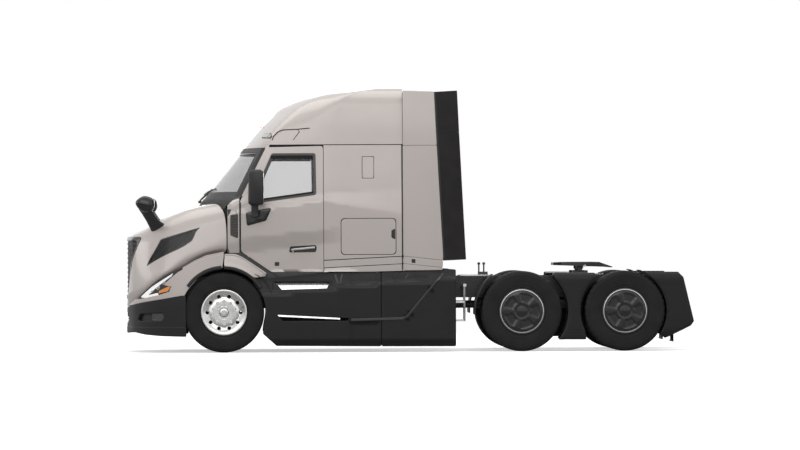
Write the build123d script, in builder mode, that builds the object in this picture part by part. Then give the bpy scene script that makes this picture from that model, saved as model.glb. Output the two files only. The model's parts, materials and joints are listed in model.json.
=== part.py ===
"""Three-axle highway tractor unit with a sleeper cab, in millimetres.

The truck faces -X, its left (driver's) side is -Y, and the origin is on the ground under the
centre of its overall box.
"""
import os
from math import cos, pi, radians, sin, sqrt

from build123d import *

os.makedirs("parts", exist_ok=True)

# ---------------------------------------------------------------- driving dimensions
front_overhang = 1270.0      # nose to front axle
front_to_drive = 3849.0      # front axle to first drive axle
tandem_spacing = 1334.0      # first to second drive axle
rear_overhang = 894.0        # second drive axle to the tail of the rear fender
body_half_width = 1205.0     # fenders, bumper and chassis fairings
skin = 40.0                  # hood, bumper and fairing thickness
cab_wall = 60.0              # whole wall: outer skin, insulation and trim
touch_gap = 0.3              # between curved faces that meet
pin_gap = 0.3                # radial play of pins and spindles
shut_gap = 8.0               # around doors and between panels

tyre_radius = 519.0
bead_radius = 285.0
steer_tyre_width = 290.0
dual_tyre_width = 275.0
dual_spacing = 335.0
steer_wheel_y = 1035.0
dual_outer_y = 1082.0

rail_top = 975.0
rail_depth = 282.0
rail_outer = 432.0
rail_flange = 80.0
rail_plate = 10.0

# ---------------------------------------------------------------- stations along the truck
length = front_overhang + front_to_drive + tandem_spacing + rear_overhang
x_nose = -length / 2
x_front = x_nose + front_overhang
x_drive_1 = x_front + front_to_drive
x_drive_2 = x_drive_1 + tandem_spacing
x_tail = length / 2
axle_z = tyre_radius
rail_bottom = rail_top - rail_depth
rail_inner = rail_outer - rail_plate
rail_front = x_front - 1000
rail_rear = x_tail - 190
cab_back = x_front + 2313
pillar_b = x_front + 1288.5


def side_prism(points, y_from, y_to):
    """A solid whose side-view outline is given by (x, z) points, between two Y planes."""
    low, high = sorted((y_from, y_to))
    with BuildPart() as block:
        with BuildSketch(Plane.XZ.offset(-high)):
            with BuildLine():
                Polyline(*points, close=True)
            make_face()
        extrude(amount=high - low)
    return block.part


def front_prism(points, x_from, x_to):
    """A solid whose front-view outline is given by (y, z) points, between two X planes."""
    with BuildPart() as block:
        with BuildSketch(Plane.YZ.offset(x_from)):
            with BuildLine():
                Polyline(*points, close=True)
            make_face()
        extrude(amount=x_to - x_from)
    return block.part


def span_box(x, y, z):
    """A box from its (low, high) pairs."""
    centre = ((x[0] + x[1]) / 2, (y[0] + y[1]) / 2, (z[0] + z[1]) / 2)
    return Pos(*centre) * Box(x[1] - x[0], y[1] - y[0], z[1] - z[0], mode=Mode.PRIVATE)


def rod_y(radius, x, z, y_from, y_to):
    """A round bar along Y."""
    bar = Cylinder(radius, abs(y_to - y_from), mode=Mode.PRIVATE)
    return Pos(x, (y_from + y_to) / 2, z) * Rot(90, 0, 0) * bar


def rod_z(radius, x, y, z_from, z_to):
    """A round bar along Z."""
    return Pos(x, y, (z_from + z_to) / 2) * Cylinder(radius, abs(z_to - z_from), mode=Mode.PRIVATE)


def rod_x(radius, y, z, x_from, x_to):
    """A round bar along X."""
    bar = Cylinder(radius, abs(x_to - x_from), mode=Mode.PRIVATE)
    return Pos((x_from + x_to) / 2, y, z) * Rot(0, 90, 0) * bar


def both_sides(part):
    """The piece and its mirror image on the other side of the truck."""
    return [part, mirror(part, about=Plane.XZ, mode=Mode.PRIVATE)]


def save(part, label):
    part.label = label
    export_step(part, f"parts/{label}.step")


# ---------------------------------------------------------------- cab envelope
floor_z = 1059.0             # underside of the cab floor
sill_z = 960.0               # underside of the door sills
side_edge_z = 1045.0         # underside of the sleeper's sides
cowl_z = 1850.0              # underside of the cowl shelf
cowl_half = 1082.0
cab_half = 1150.0
cowl_x = x_front + 53
roof_seam_z = 2700.0
rake = 1.27                  # skin thickness along X over its thickness square to the glass
corner_cut = 90.0            # setback of the flat that stands for the rounded front corner

# height, then x of centre, corner and door post from the front axle, then their half widths
cab_levels = (
    (cowl_z, -326, 53, 1288, cowl_half, cab_half),
    (1930, -309, 68, 1288, 1080, cab_half),
    (1990, -260, 218, 1288, 1078, cab_half),
    (2690, 293, 523, 1288, 1050, 1125),
    (2900, 463, 703, 1288, 1030, 1120),
    (3056, 611, 863, 1320, 1000, 1110),
    (3213, 777, 1063, 1400, 950, 1090),
    (3336, 1103, 1363, 1600, 880, 1050),
    (3405, 1629, 1843, 1950, 760, 960),
    (3435, 2103, 2153, 2200, 500, 600),
)


def cab_section(level, inset):
    z, x_centre, x_corner, x_post, y_corner, y_post = level
    centre = x_front + x_centre + inset * rake
    corner = x_front + x_corner + inset
    post = x_front + x_post
    back = cab_back - inset
    front_y = y_corner - inset
    side_y = y_post - inset
    sag = corner - centre
    bow = (front_y ** 2 + sag ** 2) / (2 * sag)
    setback = max(min(corner_cut, 0.4 * (post - corner)), 5)
    side_run = max(post - corner, corner_cut)
    cut_y = front_y - setback
    cut_x = centre + bow - sqrt(bow ** 2 - cut_y ** 2)
    rear_cut = (corner + setback, front_y + setback * (side_y - front_y) / side_run)
    side = [(cut_x, cut_y), rear_cut, (post, side_y), (back, side_y)]
    with BuildSketch(Plane.XY.offset(z)) as section:
        with BuildLine():
            ThreePointArc((cut_x, -cut_y), (centre, 0), (cut_x, cut_y))
            Polyline(*side, *[(x, -y) for x, y in reversed(side)])
        make_face()
    return section.sketch


def cab_envelope(inset, bottom):
    """The closed outer form of the cab, or the same form with every face moved in."""
    front_y = cowl_half - inset
    side_y = cab_half - inset
    with BuildPart() as form:
        with BuildSketch(Plane.XY.offset(bottom)):
            with BuildLine():
                Polyline((cowl_x + inset, -front_y), (pillar_b, -side_y), (cab_back - inset, -side_y),
                         (cab_back - inset, side_y), (pillar_b, side_y), (cowl_x + inset, front_y),
                         close=True)
            make_face()
        extrude(amount=cowl_z + inset - bottom)
        for lower, upper in zip(cab_levels, cab_levels[1:]):
            sections = []
            for level in (lower, upper):
                rise = inset if level[0] == cowl_z else 0
                drop = inset if level[0] > roof_seam_z + 300 else 0
                sections.append(cab_section((level[0] + rise - drop, *level[1:]), inset))
            loft(sections=sections, ruled=True)
    return form.part


cab_form = cab_envelope(0, sill_z)
cab_room = cab_envelope(cab_wall, floor_z + cab_wall)
trim_form = cab_envelope(cab_wall, sill_z - 100)

# side-view outlines as (x from the front axle, z)
door_front = 222.0
door_outline = ((563, 2652), (door_front, 1975), (door_front, 1305), (709, 973), (1288.5, 1026),
                (1288.5, 2666))
door_window = ((640, 2545), (1163, 2545), (1170, 2056), (375, 1948))
vent_window = ((1793, 2525), (1941, 2525), (1941, 2247), (1793, 2247))
windshield_outline = ((-985, 2080), (985, 2080), (955, 2590), (-955, 2590))
glass_depth = 20.0
glass_thickness = 8.0


def from_axle(points):
    return [(x_front + x, z) for x, z in points]


def grown(points, amount, y_from, y_to):
    """A side-view prism whose outline is moved outwards all round."""
    low, high = sorted((y_from, y_to))
    with BuildPart() as block:
        with BuildSketch(Plane.XZ.offset(-high)):
            with BuildLine():
                Polyline(*points, close=True)
            make_face()
            offset(amount=amount, kind=Kind.INTERSECTION)
        extrude(amount=high - low)
    return block.part


outside = body_half_width + 195         # beyond everything on the truck's side
door_inside = 900.0
door_void = grown(from_axle(door_outline), shut_gap, -outside, -door_inside)
door_block = side_prism(from_axle(door_outline), -outside, -door_inside)
window_block = side_prism(from_axle(door_window), -outside, -door_inside)
vent_block = side_prism(from_axle(vent_window), -outside, -door_inside)
windshield_block = front_prism(windshield_outline, x_front - 400, x_front + 700)

wheelhouse_inner = 480.0
wheelhouse_top = 1230.0
wheelhouse_rear = x_front + 540
arch_radius = 560.0
arch_z = 540.0
arch_liner = 30.0
tunnel_half = 540.0

wheelhouse = span_box((cowl_x, wheelhouse_rear), (wheelhouse_inner, cowl_half - cab_wall + 20),
                      (floor_z + 20, wheelhouse_top))
glass_outer = cab_envelope(glass_depth, sill_z)
glass_inner = cab_envelope(glass_depth + glass_thickness, sill_z)
glass_layer = glass_outer - glass_inner

# door hinges: a pin on the outer skin's line, two lugs on the cab and one on the door
hinge_axis_x = x_front + door_front - shut_gap / 2
hinge_axis_y = 1091.0
hinge_lug = 8.0
hinge_lug_height = 26.0
hinge_pin_radius = 4.0
hinge_clearance = 5.0
hinge_heights = (1400.0, 1840.0)


def door_hinge_rods(radius, spans):
    """Round bars about the door's hinge axis at both hinges, on the right side."""
    return [rod_z(radius, hinge_axis_x, hinge_axis_y, z + low, z + high)
            for z in hinge_heights for low, high in spans]


cab_lug_spans = ((0, hinge_lug_height), (2 * hinge_lug_height, 3 * hinge_lug_height))
door_lug_spans = ((hinge_lug_height + touch_gap, 2 * hinge_lug_height - touch_gap),)
door_notch_spans = ((-hinge_clearance, hinge_lug_height + touch_gap),
                    (2 * hinge_lug_height - touch_gap, 3 * hinge_lug_height + hinge_clearance))
pin_span = ((0, 3 * hinge_lug_height),)

with BuildPart() as cab_shell:
    add(cab_form - cab_room)
    add(both_sides(wheelhouse & cab_form))
    add(span_box((x_front - 500, cab_back + 50), (-850, 850), (sill_z - 50, floor_z)),
        mode=Mode.SUBTRACT)
    add(span_box((pillar_b + shut_gap, cab_back + 50), (-outside, outside),
                 (sill_z - 50, side_edge_z)), mode=Mode.SUBTRACT)
    add(both_sides(rod_y(arch_radius + arch_liner, x_front, arch_z, tunnel_half, outside)),
        mode=Mode.SUBTRACT)
    add(both_sides(door_void), mode=Mode.SUBTRACT)
    add(both_sides(vent_block), mode=Mode.SUBTRACT)
    add(windshield_block, mode=Mode.SUBTRACT)
    split(bisect_by=Plane.XY.offset(roof_seam_z), keep=Keep.BOTTOM)
    for bar in door_hinge_rods(hinge_lug + hinge_clearance, ((hinge_lug_height,
                                                             2 * hinge_lug_height),)):
        add(both_sides(bar), mode=Mode.SUBTRACT)
    for bar in (door_hinge_rods(hinge_lug, cab_lug_spans)
                + door_hinge_rods(hinge_pin_radius, pin_span)):
        add(both_sides(bar))
save(cab_shell.part, "cab_shell")

with BuildPart() as roof_shell:
    add(cab_form - cab_room)
    split(bisect_by=Plane.XY.offset(roof_seam_z), keep=Keep.TOP)
save(roof_shell.part, "roof_shell")

with BuildPart() as cab_glass:
    add(glass_layer & windshield_block)
    add(both_sides(glass_layer & vent_block))
save(cab_glass.part, "cab_glass")

door_left = ((cab_form - trim_form) & door_block) - window_block
for bar in door_hinge_rods(hinge_lug + hinge_clearance, door_notch_spans):
    door_left -= both_sides(bar)[1]
for bar in door_hinge_rods(hinge_lug, door_lug_spans):
    door_left += both_sides(bar)[1]
for bar in door_hinge_rods(hinge_pin_radius + pin_gap, door_lug_spans):
    door_left -= both_sides(bar)[1]
door_glass_left = glass_layer & window_block
for side_name, index in (("left", 0), ("right", 1)):
    with BuildPart() as door:
        add(both_sides(door_left)[index])
    save(door.part, f"door_{side_name}")
    with BuildPart() as door_glass:
        add(both_sides(door_glass_left)[index])
    save(door_glass.part, f"door_glass_{side_name}")

# ---------------------------------------------------------------- hood
# x from the front axle, half widths (low, crease, shoulder), heights (bottom, low edge,
# crease, shoulder, top)
hood_stations = (
    (-1270, 200, 200, 160, 618, 950, 1100, 1400, 1450),
    (-1262, 420, 420, 330, 618, 950, 1100, 1440, 1487),
    (-1197, 750, 710, 600, 625, 960, 1110, 1480, 1535),
    (-1037, body_half_width - 220, 905, 760, 652, 985, 1130, 1545, 1610),
    (-797, body_half_width - 80, 1010, 850, 700, 1020, 1180, 1670, 1745),
    (-500, body_half_width, 1070, 905, 745, 1085, 1245, 1790, 1870),
    (-237, body_half_width, 1080, 950, 745, 1215, 1300, 1850, 1937),
    (60, body_half_width, 1085, 1000, 745, 1270, 1370, 1890, 1975),
)
hood_split_x = x_front + 37
hood_split_low_x = x_front - 7
hood_split_z = 1282.0
hood_rear_centre = x_front - 334
lamp_from_y = 500.0


def hood_form(inset, drop):
    """The hood's outer form, or the form with its faces moved in and its bottom lowered."""
    sections = []
    for x, low, crease, shoulder, z_bottom, z_low, z_crease, z_shoulder, z_top in hood_stations:
        with BuildSketch(Plane.YZ.offset(x_front + x + inset)) as section:
            low_y = low - inset
            crease_y = crease - inset
            shoulder_y = shoulder - inset
            with BuildLine():
                ThreePointArc((-shoulder_y, z_shoulder - inset / 2), (0, z_top - inset),
                              (shoulder_y, z_shoulder - inset / 2))
                Polyline((shoulder_y, z_shoulder - inset / 2), (crease_y, z_crease),
                         (low_y, z_low), (low_y, z_bottom - drop), (-low_y, z_bottom - drop),
                         (-low_y, z_low), (-crease_y, z_crease),
                         (-shoulder_y, z_shoulder - inset / 2))
            make_face()
        sections.append(section.sketch)
    with BuildPart() as form:
        loft(sections=sections, ruled=True)
    return form.part


def behind_hood():
    """Everything behind the hood's rear edge, which bows forward at the middle."""
    with BuildPart() as block:
        with BuildSketch(Plane.XY.offset(hood_split_z)):
            with BuildLine():
                ThreePointArc((hood_split_x, -cowl_half), (hood_rear_centre, 0),
                              (hood_split_x, cowl_half))
                Polyline((hood_split_x, cowl_half), (hood_split_x, outside),
                         (x_front + 600, outside), (x_front + 600, -outside),
                         (hood_split_x, -outside), (hood_split_x, -cowl_half))
            make_face()
        extrude(amount=1000)
        add(span_box((hood_split_low_x, x_front + 600), (-outside, outside),
                     (0, hood_split_z)))
    return block.part


grille_outline = ((-735, 1500), (-650, 1229), (-560, 889), (-480, 700), (480, 700), (560, 889),
                  (650, 1229), (735, 1500))
lamp_outline = ((-1084, 690), (-684, 1025), (-714, 843), (-846, 745))
intake_outline = ((-824, 1473), (-278, 1633), (-351, 1566), (-403, 1448), (-536, 1359),
                  (-1024, 1096), (-964, 1228))
intake_from_y = 700.0
intake_recess = 15.0

pivot_x = x_nose + 35
pivot_z = 621.0
hinge_y = (231.0, 269.0)
hinge_radius = 12.0
hinge_pin = 6.0
hinge_arm_top = 672.0
lug_notch_y = (198.0, 302.0)
lug_bore_y = (220.0, 280.0)
lug_half = 10.0

hood_outer = hood_form(0, 0)
hood_void = hood_form(skin, 400)
hood_skin = hood_outer - hood_void - behind_hood()
hood_skin -= rod_y(arch_radius, x_front, arch_z, -outside, outside)
grille_block = front_prism(grille_outline, x_nose - 50, x_front - 960)
lamp_block = side_prism(from_axle(lamp_outline), -outside, -lamp_from_y)
intake_block = side_prism(from_axle(intake_outline), -outside, -intake_from_y)
intake_layer = hood_skin & hood_form(intake_recess, 400)
lamp_pieces = [hood_skin & piece for piece in both_sides(lamp_block)]

with BuildPart() as hood:
    add(hood_skin)
    add(grille_block, mode=Mode.SUBTRACT)
    add(both_sides(lamp_block), mode=Mode.SUBTRACT)
    add(both_sides(intake_block), mode=Mode.SUBTRACT)
    for side in (-1, 1):
        add(span_box((x_nose - 10, pivot_x + 60), sorted(side * y for y in lug_notch_y),
                     (550, hinge_arm_top - 4)), mode=Mode.SUBTRACT)
    for side in (-1, 1):
        lug_y = sorted(side * y for y in hinge_y)
        add(span_box((pivot_x - lug_half, pivot_x + lug_half), lug_y, (pivot_z, hinge_arm_top + 8)))
        add(rod_y(hinge_radius, pivot_x, pivot_z, *lug_y))
        add(rod_y(hinge_pin + pin_gap, pivot_x, pivot_z, *(side * y for y in lug_bore_y)),
            mode=Mode.SUBTRACT)
save(hood.part, "hood")

with BuildPart() as grille:
    add(hood_skin & grille_block)
save(grille.part, "grille")

with BuildPart() as headlamps:
    add(lamp_pieces)
save(headlamps.part, "headlamps")

with BuildPart() as side_intakes:
    add([intake_layer & block for block in both_sides(intake_block)])
save(side_intakes.part, "side_intakes")

# ---------------------------------------------------------------- bumper and fender flares
bumper_bottom = 216.0
bumper_rear = x_front - 511
pivot_drop = 43.0
bumper_top = pivot_z - pivot_drop
bumper_rear_top = 735.0
bumper_side = [(x_nose - 10, bumper_top), (x_front - 1225, bumper_top),
               (bumper_rear, bumper_rear_top), (bumper_rear, bumper_bottom),
               (x_front - 820, 228), (x_front - 1084, 252), (x_front - 1187, 289),
               (x_front - 1217, 341), (x_nose - 10, 420)]


def bumper_plan(inset):
    """Plan outline of the nose, from the hood's own stations."""
    half = [(x_front + x + inset, low - inset) for x, low, *rest in hood_stations if x < -300]
    return half + [(x, -y) for x, y in reversed(half)]


def plan_prism(points, z_from, z_to):
    with BuildPart() as block:
        with BuildSketch(Plane.XY.offset(z_from)):
            with BuildLine():
                Polyline(*points, close=True)
            make_face()
        extrude(amount=z_to - z_from)
    return block.part


bumper_wall = 25.0
bumper_shell = plan_prism(bumper_plan(0), bumper_bottom, 800) - plan_prism(
    bumper_plan(bumper_wall), 0, 900)
with BuildPart() as bumper:
    add(bumper_shell & side_prism(bumper_side, -outside, outside))
    for side in (-1, 1):
        for y in (218, 282):
            low, high = sorted((side * (y - 11), side * (y + 11)))
            add(span_box((x_nose + bumper_wall - 4, pivot_x + 10), (low, high),
                         (bumper_top - 60, bumper_top)))
            add(span_box((pivot_x - 10, pivot_x + 10), (low, high), (bumper_top - 1, pivot_z)))
            add(rod_y(hinge_radius, pivot_x, pivot_z, low, high))
        add(rod_y(hinge_pin, pivot_x, pivot_z, side * 208, side * 292))
    arm = span_box((x_front - 1235, rail_front + 150), (rail_outer, rail_outer + 30), (480, 560))
    arm += span_box((rail_front, rail_front + 150), (rail_outer, rail_outer + 30), (480, 740))
    add(both_sides(arm))
save(bumper.part, "bumper")

flare_outline = ((5, 1269), (145, 1269), (294, 1193), (545, 1022), (522, 985))
flare_inner_y = 1010.0
flare_block = side_prism(from_axle(((5, 700), *flare_outline, (522, 700))), flare_inner_y,
                         body_half_width)
with BuildPart() as cab_flares:
    add(both_sides(flare_block - rod_y(arch_radius, x_front, arch_z, 0, outside) - cab_form
                   - span_box((x_front - 100, x_front + 700), (0, outside), (600, sill_z))))
save(cab_flares.part, "cab_flares")

# ---------------------------------------------------------------- mirrors
hood_mirror_arm = ((-687, 1600), (-830, 1545), (-949, 1564), (-1053, 1786), (-1169, 1917),
                   (-1130, 1935), (-968, 1786), (-898, 1790), (-880, 1700))
hood_mirror_head = ((-1176, 1956), (-988, 2046), (-898, 1981), (-902, 1850), (-968, 1790))
with BuildPart() as hood_mirrors:
    add(both_sides(side_prism(from_axle(hood_mirror_arm), 800, 960) - hood_outer))
    add(both_sides(side_prism(from_axle(hood_mirror_head), 930, 1130)))
save(hood_mirrors.part, "hood_mirrors")

door_mirror_base = ((287, 1803), (616, 1868), (544, 1704), (300, 1640))
door_mirror_left = side_prism(from_axle(door_mirror_base), -1165, -1000) - cab_form
door_mirror_left += span_box((x_front + 348, x_front + 452), (-1345, -1150), (1740, 1802))
door_mirror_left += span_box((x_front + 348, x_front + 452), (-1345, -1285), (1801, 1903))
door_mirror_left += span_box((x_front + 315, x_front + 518), (-1445, -1215), (1902, 2363))
for side_name, index in (("left", 0), ("right", 1)):
    with BuildPart() as door_mirror:
        add(both_sides(door_mirror_left)[index])
    save(door_mirror.part, f"door_mirror_{side_name}")

# ---------------------------------------------------------------- cab extenders
extender_front = cab_back + shut_gap
extender_half = body_half_width - 5
extender_side = [(extender_front, 3374), (x_front + 2720, 3359), (x_front + 2826, 1237),
                 (x_front + 2818, 1059), (extender_front, 1047)]
extender_plan = [(extender_front, 1155), (x_front + 2830, extender_half),
                 (x_front + 2830, extender_half - 28), (cab_back + 40, 1130),
                 (cab_back + 40, 1090), (cab_back, 1090), (cab_back, 1125),
                 (extender_front, 1125)]
flap_side = [(x_front + 2720, 3359), (x_front + 3021, 3375), (x_front + 3046, 2835),
             (x_front + 3129, 1190), (x_front + 2828, 1177), (x_front + 2826, 1237)]
flap_thickness = 12.0
with BuildPart() as cab_extenders:
    add(both_sides(plan_prism(extender_plan, 1000, 3400) & side_prism(extender_side, 900, outside)))
    flange_cut = [(cab_back - 1, 1000), (extender_front, 1000), (extender_front, 3400),
                  (cab_back - 1, 3400)]
    add(both_sides((plan_prism(extender_plan, 1200, 3100)
                    & side_prism(flange_cut, 900, outside))))
save(cab_extenders.part, "cab_extenders")

with BuildPart() as extender_flaps:
    add(both_sides(side_prism(flap_side, extender_half - 20, extender_half - 20 + flap_thickness)))
save(extender_flaps.part, "extender_flaps")

# ---------------------------------------------------------------- chassis fairings
fairing_top = 1035.0
fairing_rear = x_front + 2992
fairing_arch = 545.0
fairing_inner_y = body_half_width - skin
fairing_side = [(x_front + 367, 941), (x_front + 1386, 920), (x_front + 1437, fairing_top - 12),
                (x_front + 2000, fairing_top), (fairing_rear, fairing_top + 2), (fairing_rear, 75),
                (x_front + 678, 89), (x_front + 508, 245), (x_front + 508, 319),
                (x_front + 400, 319)]
step_1 = ((637, 923), (1386, 921), (1337, 817), (745, 800))
step_2 = ((677, 500), (1497, 455), (1497, 425), (740, 395))
step_depth = 160.0
step_plate = 20.0
with BuildPart() as chassis_fairings:
    panel = side_prism(fairing_side, fairing_inner_y, body_half_width)
    panel -= rod_y(fairing_arch, x_front, axle_z, 0, outside)
    for outline in (step_1, step_2):
        panel -= side_prism(from_axle(outline), 0, outside)
    add(both_sides(panel))
save(chassis_fairings.part, "chassis_fairings")

with BuildPart() as step_treads:
    for outline in (step_1, step_2):
        (x0, z0), (x1, z1), (x2, z2), (x3, z3) = from_axle(outline)
        tread = side_prism([(x3, z3), (x2, z2), (x2 - 1, z2 + step_plate), (x3 - 1, z3 + step_plate)],
                           body_half_width - step_depth, body_half_width - 5)
        add(both_sides(tread))
save(step_treads.part, "step_treads")

# ---------------------------------------------------------------- frame
member_half = 30.0
member_bottom = 745.0
member_top = 958.0
member_stations = (x_front - 960, x_front + 1150, x_front + 2250, x_drive_1 - 480,
                   (x_drive_1 + x_drive_2) / 2, x_drive_2 + 420, rail_rear - member_half)
rail_section = ((rail_outer, rail_bottom), (rail_outer, rail_top),
                (rail_outer - rail_flange, rail_top), (rail_outer - rail_flange, rail_top - rail_plate),
                (rail_inner, rail_top - rail_plate), (rail_inner, rail_bottom + rail_plate),
                (rail_outer - rail_flange, rail_bottom + rail_plate),
                (rail_outer - rail_flange, rail_bottom))
mount_stations = (x_front + 200, x_front + 2200)
mount_half = 60.0

with BuildPart() as frame_rails:
    add(both_sides(front_prism(rail_section, rail_front, rail_rear)))
save(frame_rails.part, "frame_rails")

with BuildPart() as frame_crossmembers:
    for x in member_stations:
        add(span_box((x - member_half, x + member_half), (-rail_inner, rail_inner),
                     (member_bottom, member_top)))
    for x in mount_stations:
        add(both_sides(span_box((x - mount_half, x + mount_half),
                                (rail_outer - rail_flange, rail_outer), (rail_top, floor_z))))
save(frame_crossmembers.part, "frame_crossmembers")


# ---------------------------------------------------------------- power train
engine_x = (x_front - 650, x_front)
engine_half = 340.0
engine_z = (570.0, 1500.0)
gearbox_x = (x_front, x_front + 900)
gearbox_half = 250.0
gearbox_z = (560.0, 940.0)
engine_mount_x = x_front - 500
gearbox_mount_x = x_front + 700
shaft_z = 600.0
shaft_radius = 50.0
bowl_radius = 210.0
bowl_half = 125.0
radiator_x = (rail_front - 90, rail_front)
radiator_half = 400.0
radiator_z = (700.0, 1380.0)

with BuildPart() as engine_block:
    add(span_box(engine_x, (-engine_half, engine_half), engine_z))
    add(span_box(gearbox_x, (-gearbox_half, gearbox_half), gearbox_z))
    for x, half in ((engine_mount_x, engine_half), (gearbox_mount_x, gearbox_half)):
        add(both_sides(span_box((x - 60, x + 60), (half - 1, rail_inner), (760, 900))))
save(engine_block.part, "engine_block")

with BuildPart() as radiator:
    add(span_box(radiator_x, (-radiator_half, radiator_half), radiator_z))
save(radiator.part, "radiator")

with BuildPart() as driveshafts:
    add(rod_x(shaft_radius, 0, shaft_z, gearbox_x[1], x_drive_1 - bowl_half))
    add(rod_x(shaft_radius, 0, shaft_z, x_drive_1 + bowl_half, x_drive_2 - bowl_half))
save(driveshafts.part, "driveshafts")

# ---------------------------------------------------------------- front axle, springs, steering
kingpin_y = 870.0
kingpin_radius = 20.0
eye_radius = 50.0
eye_half = 50.0
lug_height = 50.0
lug_gap = 5.0
beam_half = 45.0
beam_y = 690.0
beam_z = (400.0, 480.0)
spring_y = (400.0, 475.0)
spring_reach = 700.0
spring_pad_top = 560.0
spring_leaf = 45.0
spring_rise = 60.0

eye_z = (axle_z - eye_half, axle_z + eye_half)
lug_z = (eye_z[0] - lug_gap - lug_height, eye_z[1] + lug_gap + lug_height)
with BuildPart() as front_axle_beam:
    add(span_box((x_front - beam_half, x_front + beam_half), (-beam_y, beam_y), beam_z))
    beam_end = span_box((x_front - beam_half, x_front + beam_half), (beam_y - 100, kingpin_y),
                        (eye_z[0], eye_z[1]))
    beam_end += span_box((x_front - beam_half, x_front + beam_half), (beam_y - 100, beam_y),
                         (beam_z[0], eye_z[1]))
    beam_end += rod_z(eye_radius, x_front, kingpin_y, *eye_z)
    beam_end -= rod_z(kingpin_radius + pin_gap, x_front, kingpin_y, 0, 1000)
    add(both_sides(beam_end))
    add(both_sides(span_box((x_front - 70, x_front + 70), spring_y, (beam_z[1], spring_pad_top))))
save(front_axle_beam.part, "front_axle_beam")

spring_end_z = spring_pad_top + spring_rise
with BuildPart() as front_springs:
    leaf = side_prism([(x_front - spring_reach, spring_end_z), (x_front - 70, spring_pad_top),
                       (x_front + 70, spring_pad_top), (x_front + spring_reach, spring_end_z),
                       (x_front + spring_reach, spring_end_z + spring_leaf),
                       (x_front + 70, spring_pad_top + spring_leaf),
                       (x_front - 70, spring_pad_top + spring_leaf),
                       (x_front - spring_reach, spring_end_z + spring_leaf)], *spring_y)
    for x in (x_front - spring_reach + 40, x_front + spring_reach - 40):
        leaf += span_box((x - 40, x + 40), (spring_y[0], rail_outer),
                         (spring_end_z + spring_leaf - 4, rail_bottom))
    add(both_sides(leaf))
save(front_springs.part, "front_springs")

spindle_radius = 40.0
spindle_end_y = 1090.0
plate_y = (kingpin_y + eye_radius + lug_gap, kingpin_y + eye_radius + lug_gap + 30)
arm_reach = 200.0
arm_thickness = 26.0
arm_half = 18.0
rod_radius = 20.0
eye_outer = 24.0
ball_radius = 12.0
rod_gap = 6.0
arm_z = (lug_z[0], lug_z[0] + arm_thickness)
tie_z = (arm_z[1] + rod_gap, arm_z[1] + rod_gap + 30)
arm_x = x_front + arm_reach
arm_y = kingpin_y

knuckle_left = rod_z(eye_radius, x_front, -kingpin_y, lug_z[0], eye_z[0] - lug_gap)
knuckle_left += rod_z(eye_radius, x_front, -kingpin_y, eye_z[1] + lug_gap, lug_z[1])
knuckle_left += rod_z(kingpin_radius, x_front, -kingpin_y, *lug_z)
for z_pair in ((lug_z[0], eye_z[0] - lug_gap), (eye_z[1] + lug_gap, lug_z[1])):
    knuckle_left += span_box((x_front - eye_radius, x_front + eye_radius),
                             (-plate_y[1], -kingpin_y), z_pair)
knuckle_left += span_box((x_front - 60, x_front + 60), (-plate_y[1], -plate_y[0]), lug_z)
knuckle_left += rod_y(spindle_radius, x_front, axle_z, -spindle_end_y, -plate_y[1] + 1)
knuckle_left += plan_prism([(x_front, -kingpin_y - arm_half), (arm_x, -arm_y - arm_half),
                            (arm_x, -arm_y + arm_half), (x_front, -kingpin_y + arm_half)], *arm_z)
knuckle_left += rod_z(eye_outer, arm_x, -arm_y, *arm_z)
knuckle_left += rod_z(ball_radius, arm_x, -arm_y, arm_z[0], tie_z[1])
for side_name, index in (("left", 0), ("right", 1)):
    with BuildPart() as knuckle:
        add(both_sides(knuckle_left)[index])
    save(knuckle.part, f"knuckle_{side_name}")

with BuildPart() as tie_rod:
    add(rod_y(rod_radius - 6, arm_x, (tie_z[0] + tie_z[1]) / 2, -arm_y + 1, arm_y - 1))
    for side in (-1, 1):
        add(rod_z(eye_outer, arm_x, side * arm_y, *tie_z))
    for side in (-1, 1):
        add(rod_z(ball_radius + pin_gap, arm_x, side * arm_y, 0, 1000), mode=Mode.SUBTRACT)
save(tie_rod.part, "tie_rod")

# ---------------------------------------------------------------- drive axles and suspension
housing_radius = 75.0
housing_half = 690.0
drive_spindle_radius = 60.0
drive_spindle_end = 950.0
trail_arm_y = (rail_outer - rail_flange, rail_outer + 10)
trail_arm_depth = 50.0
hanger_x = -350.0
bag_x = 300.0
bag_radius = 100.0

with BuildPart() as drive_axles:
    for x in (x_drive_1, x_drive_2):
        add(rod_y(housing_radius, x, axle_z, -housing_half, housing_half))
        add(rod_y(drive_spindle_radius, x, axle_z, -drive_spindle_end, drive_spindle_end))
        add(rod_x(bowl_radius, 0, axle_z, x - bowl_half, x + bowl_half))
save(drive_axles.part, "drive_axles")

with BuildPart() as rear_suspension:
    arm_top = axle_z - housing_radius
    for x in (x_drive_1, x_drive_2):
        arm = span_box((x + hanger_x - 50, x + bag_x + 80), trail_arm_y,
                       (arm_top - trail_arm_depth, arm_top))
        arm += span_box((x - 90, x + 90), trail_arm_y, (arm_top - 1, axle_z))
        arm -= rod_y(housing_radius, x, axle_z, 0, housing_half)
        arm += span_box((x + hanger_x - 50, x + hanger_x + 50), trail_arm_y,
                        (arm_top - 1, rail_bottom))
        arm += rod_z(bag_radius, x + bag_x, (trail_arm_y[0] + trail_arm_y[1]) / 2,
                     arm_top - 1, rail_bottom)
        add(both_sides(arm))
save(rear_suspension.part, "rear_suspension")

# ---------------------------------------------------------------- wheels
rim_half = 120.0
rim_wall = 13.0
flange_width = 12.0
flange_radius = 296.0


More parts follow.
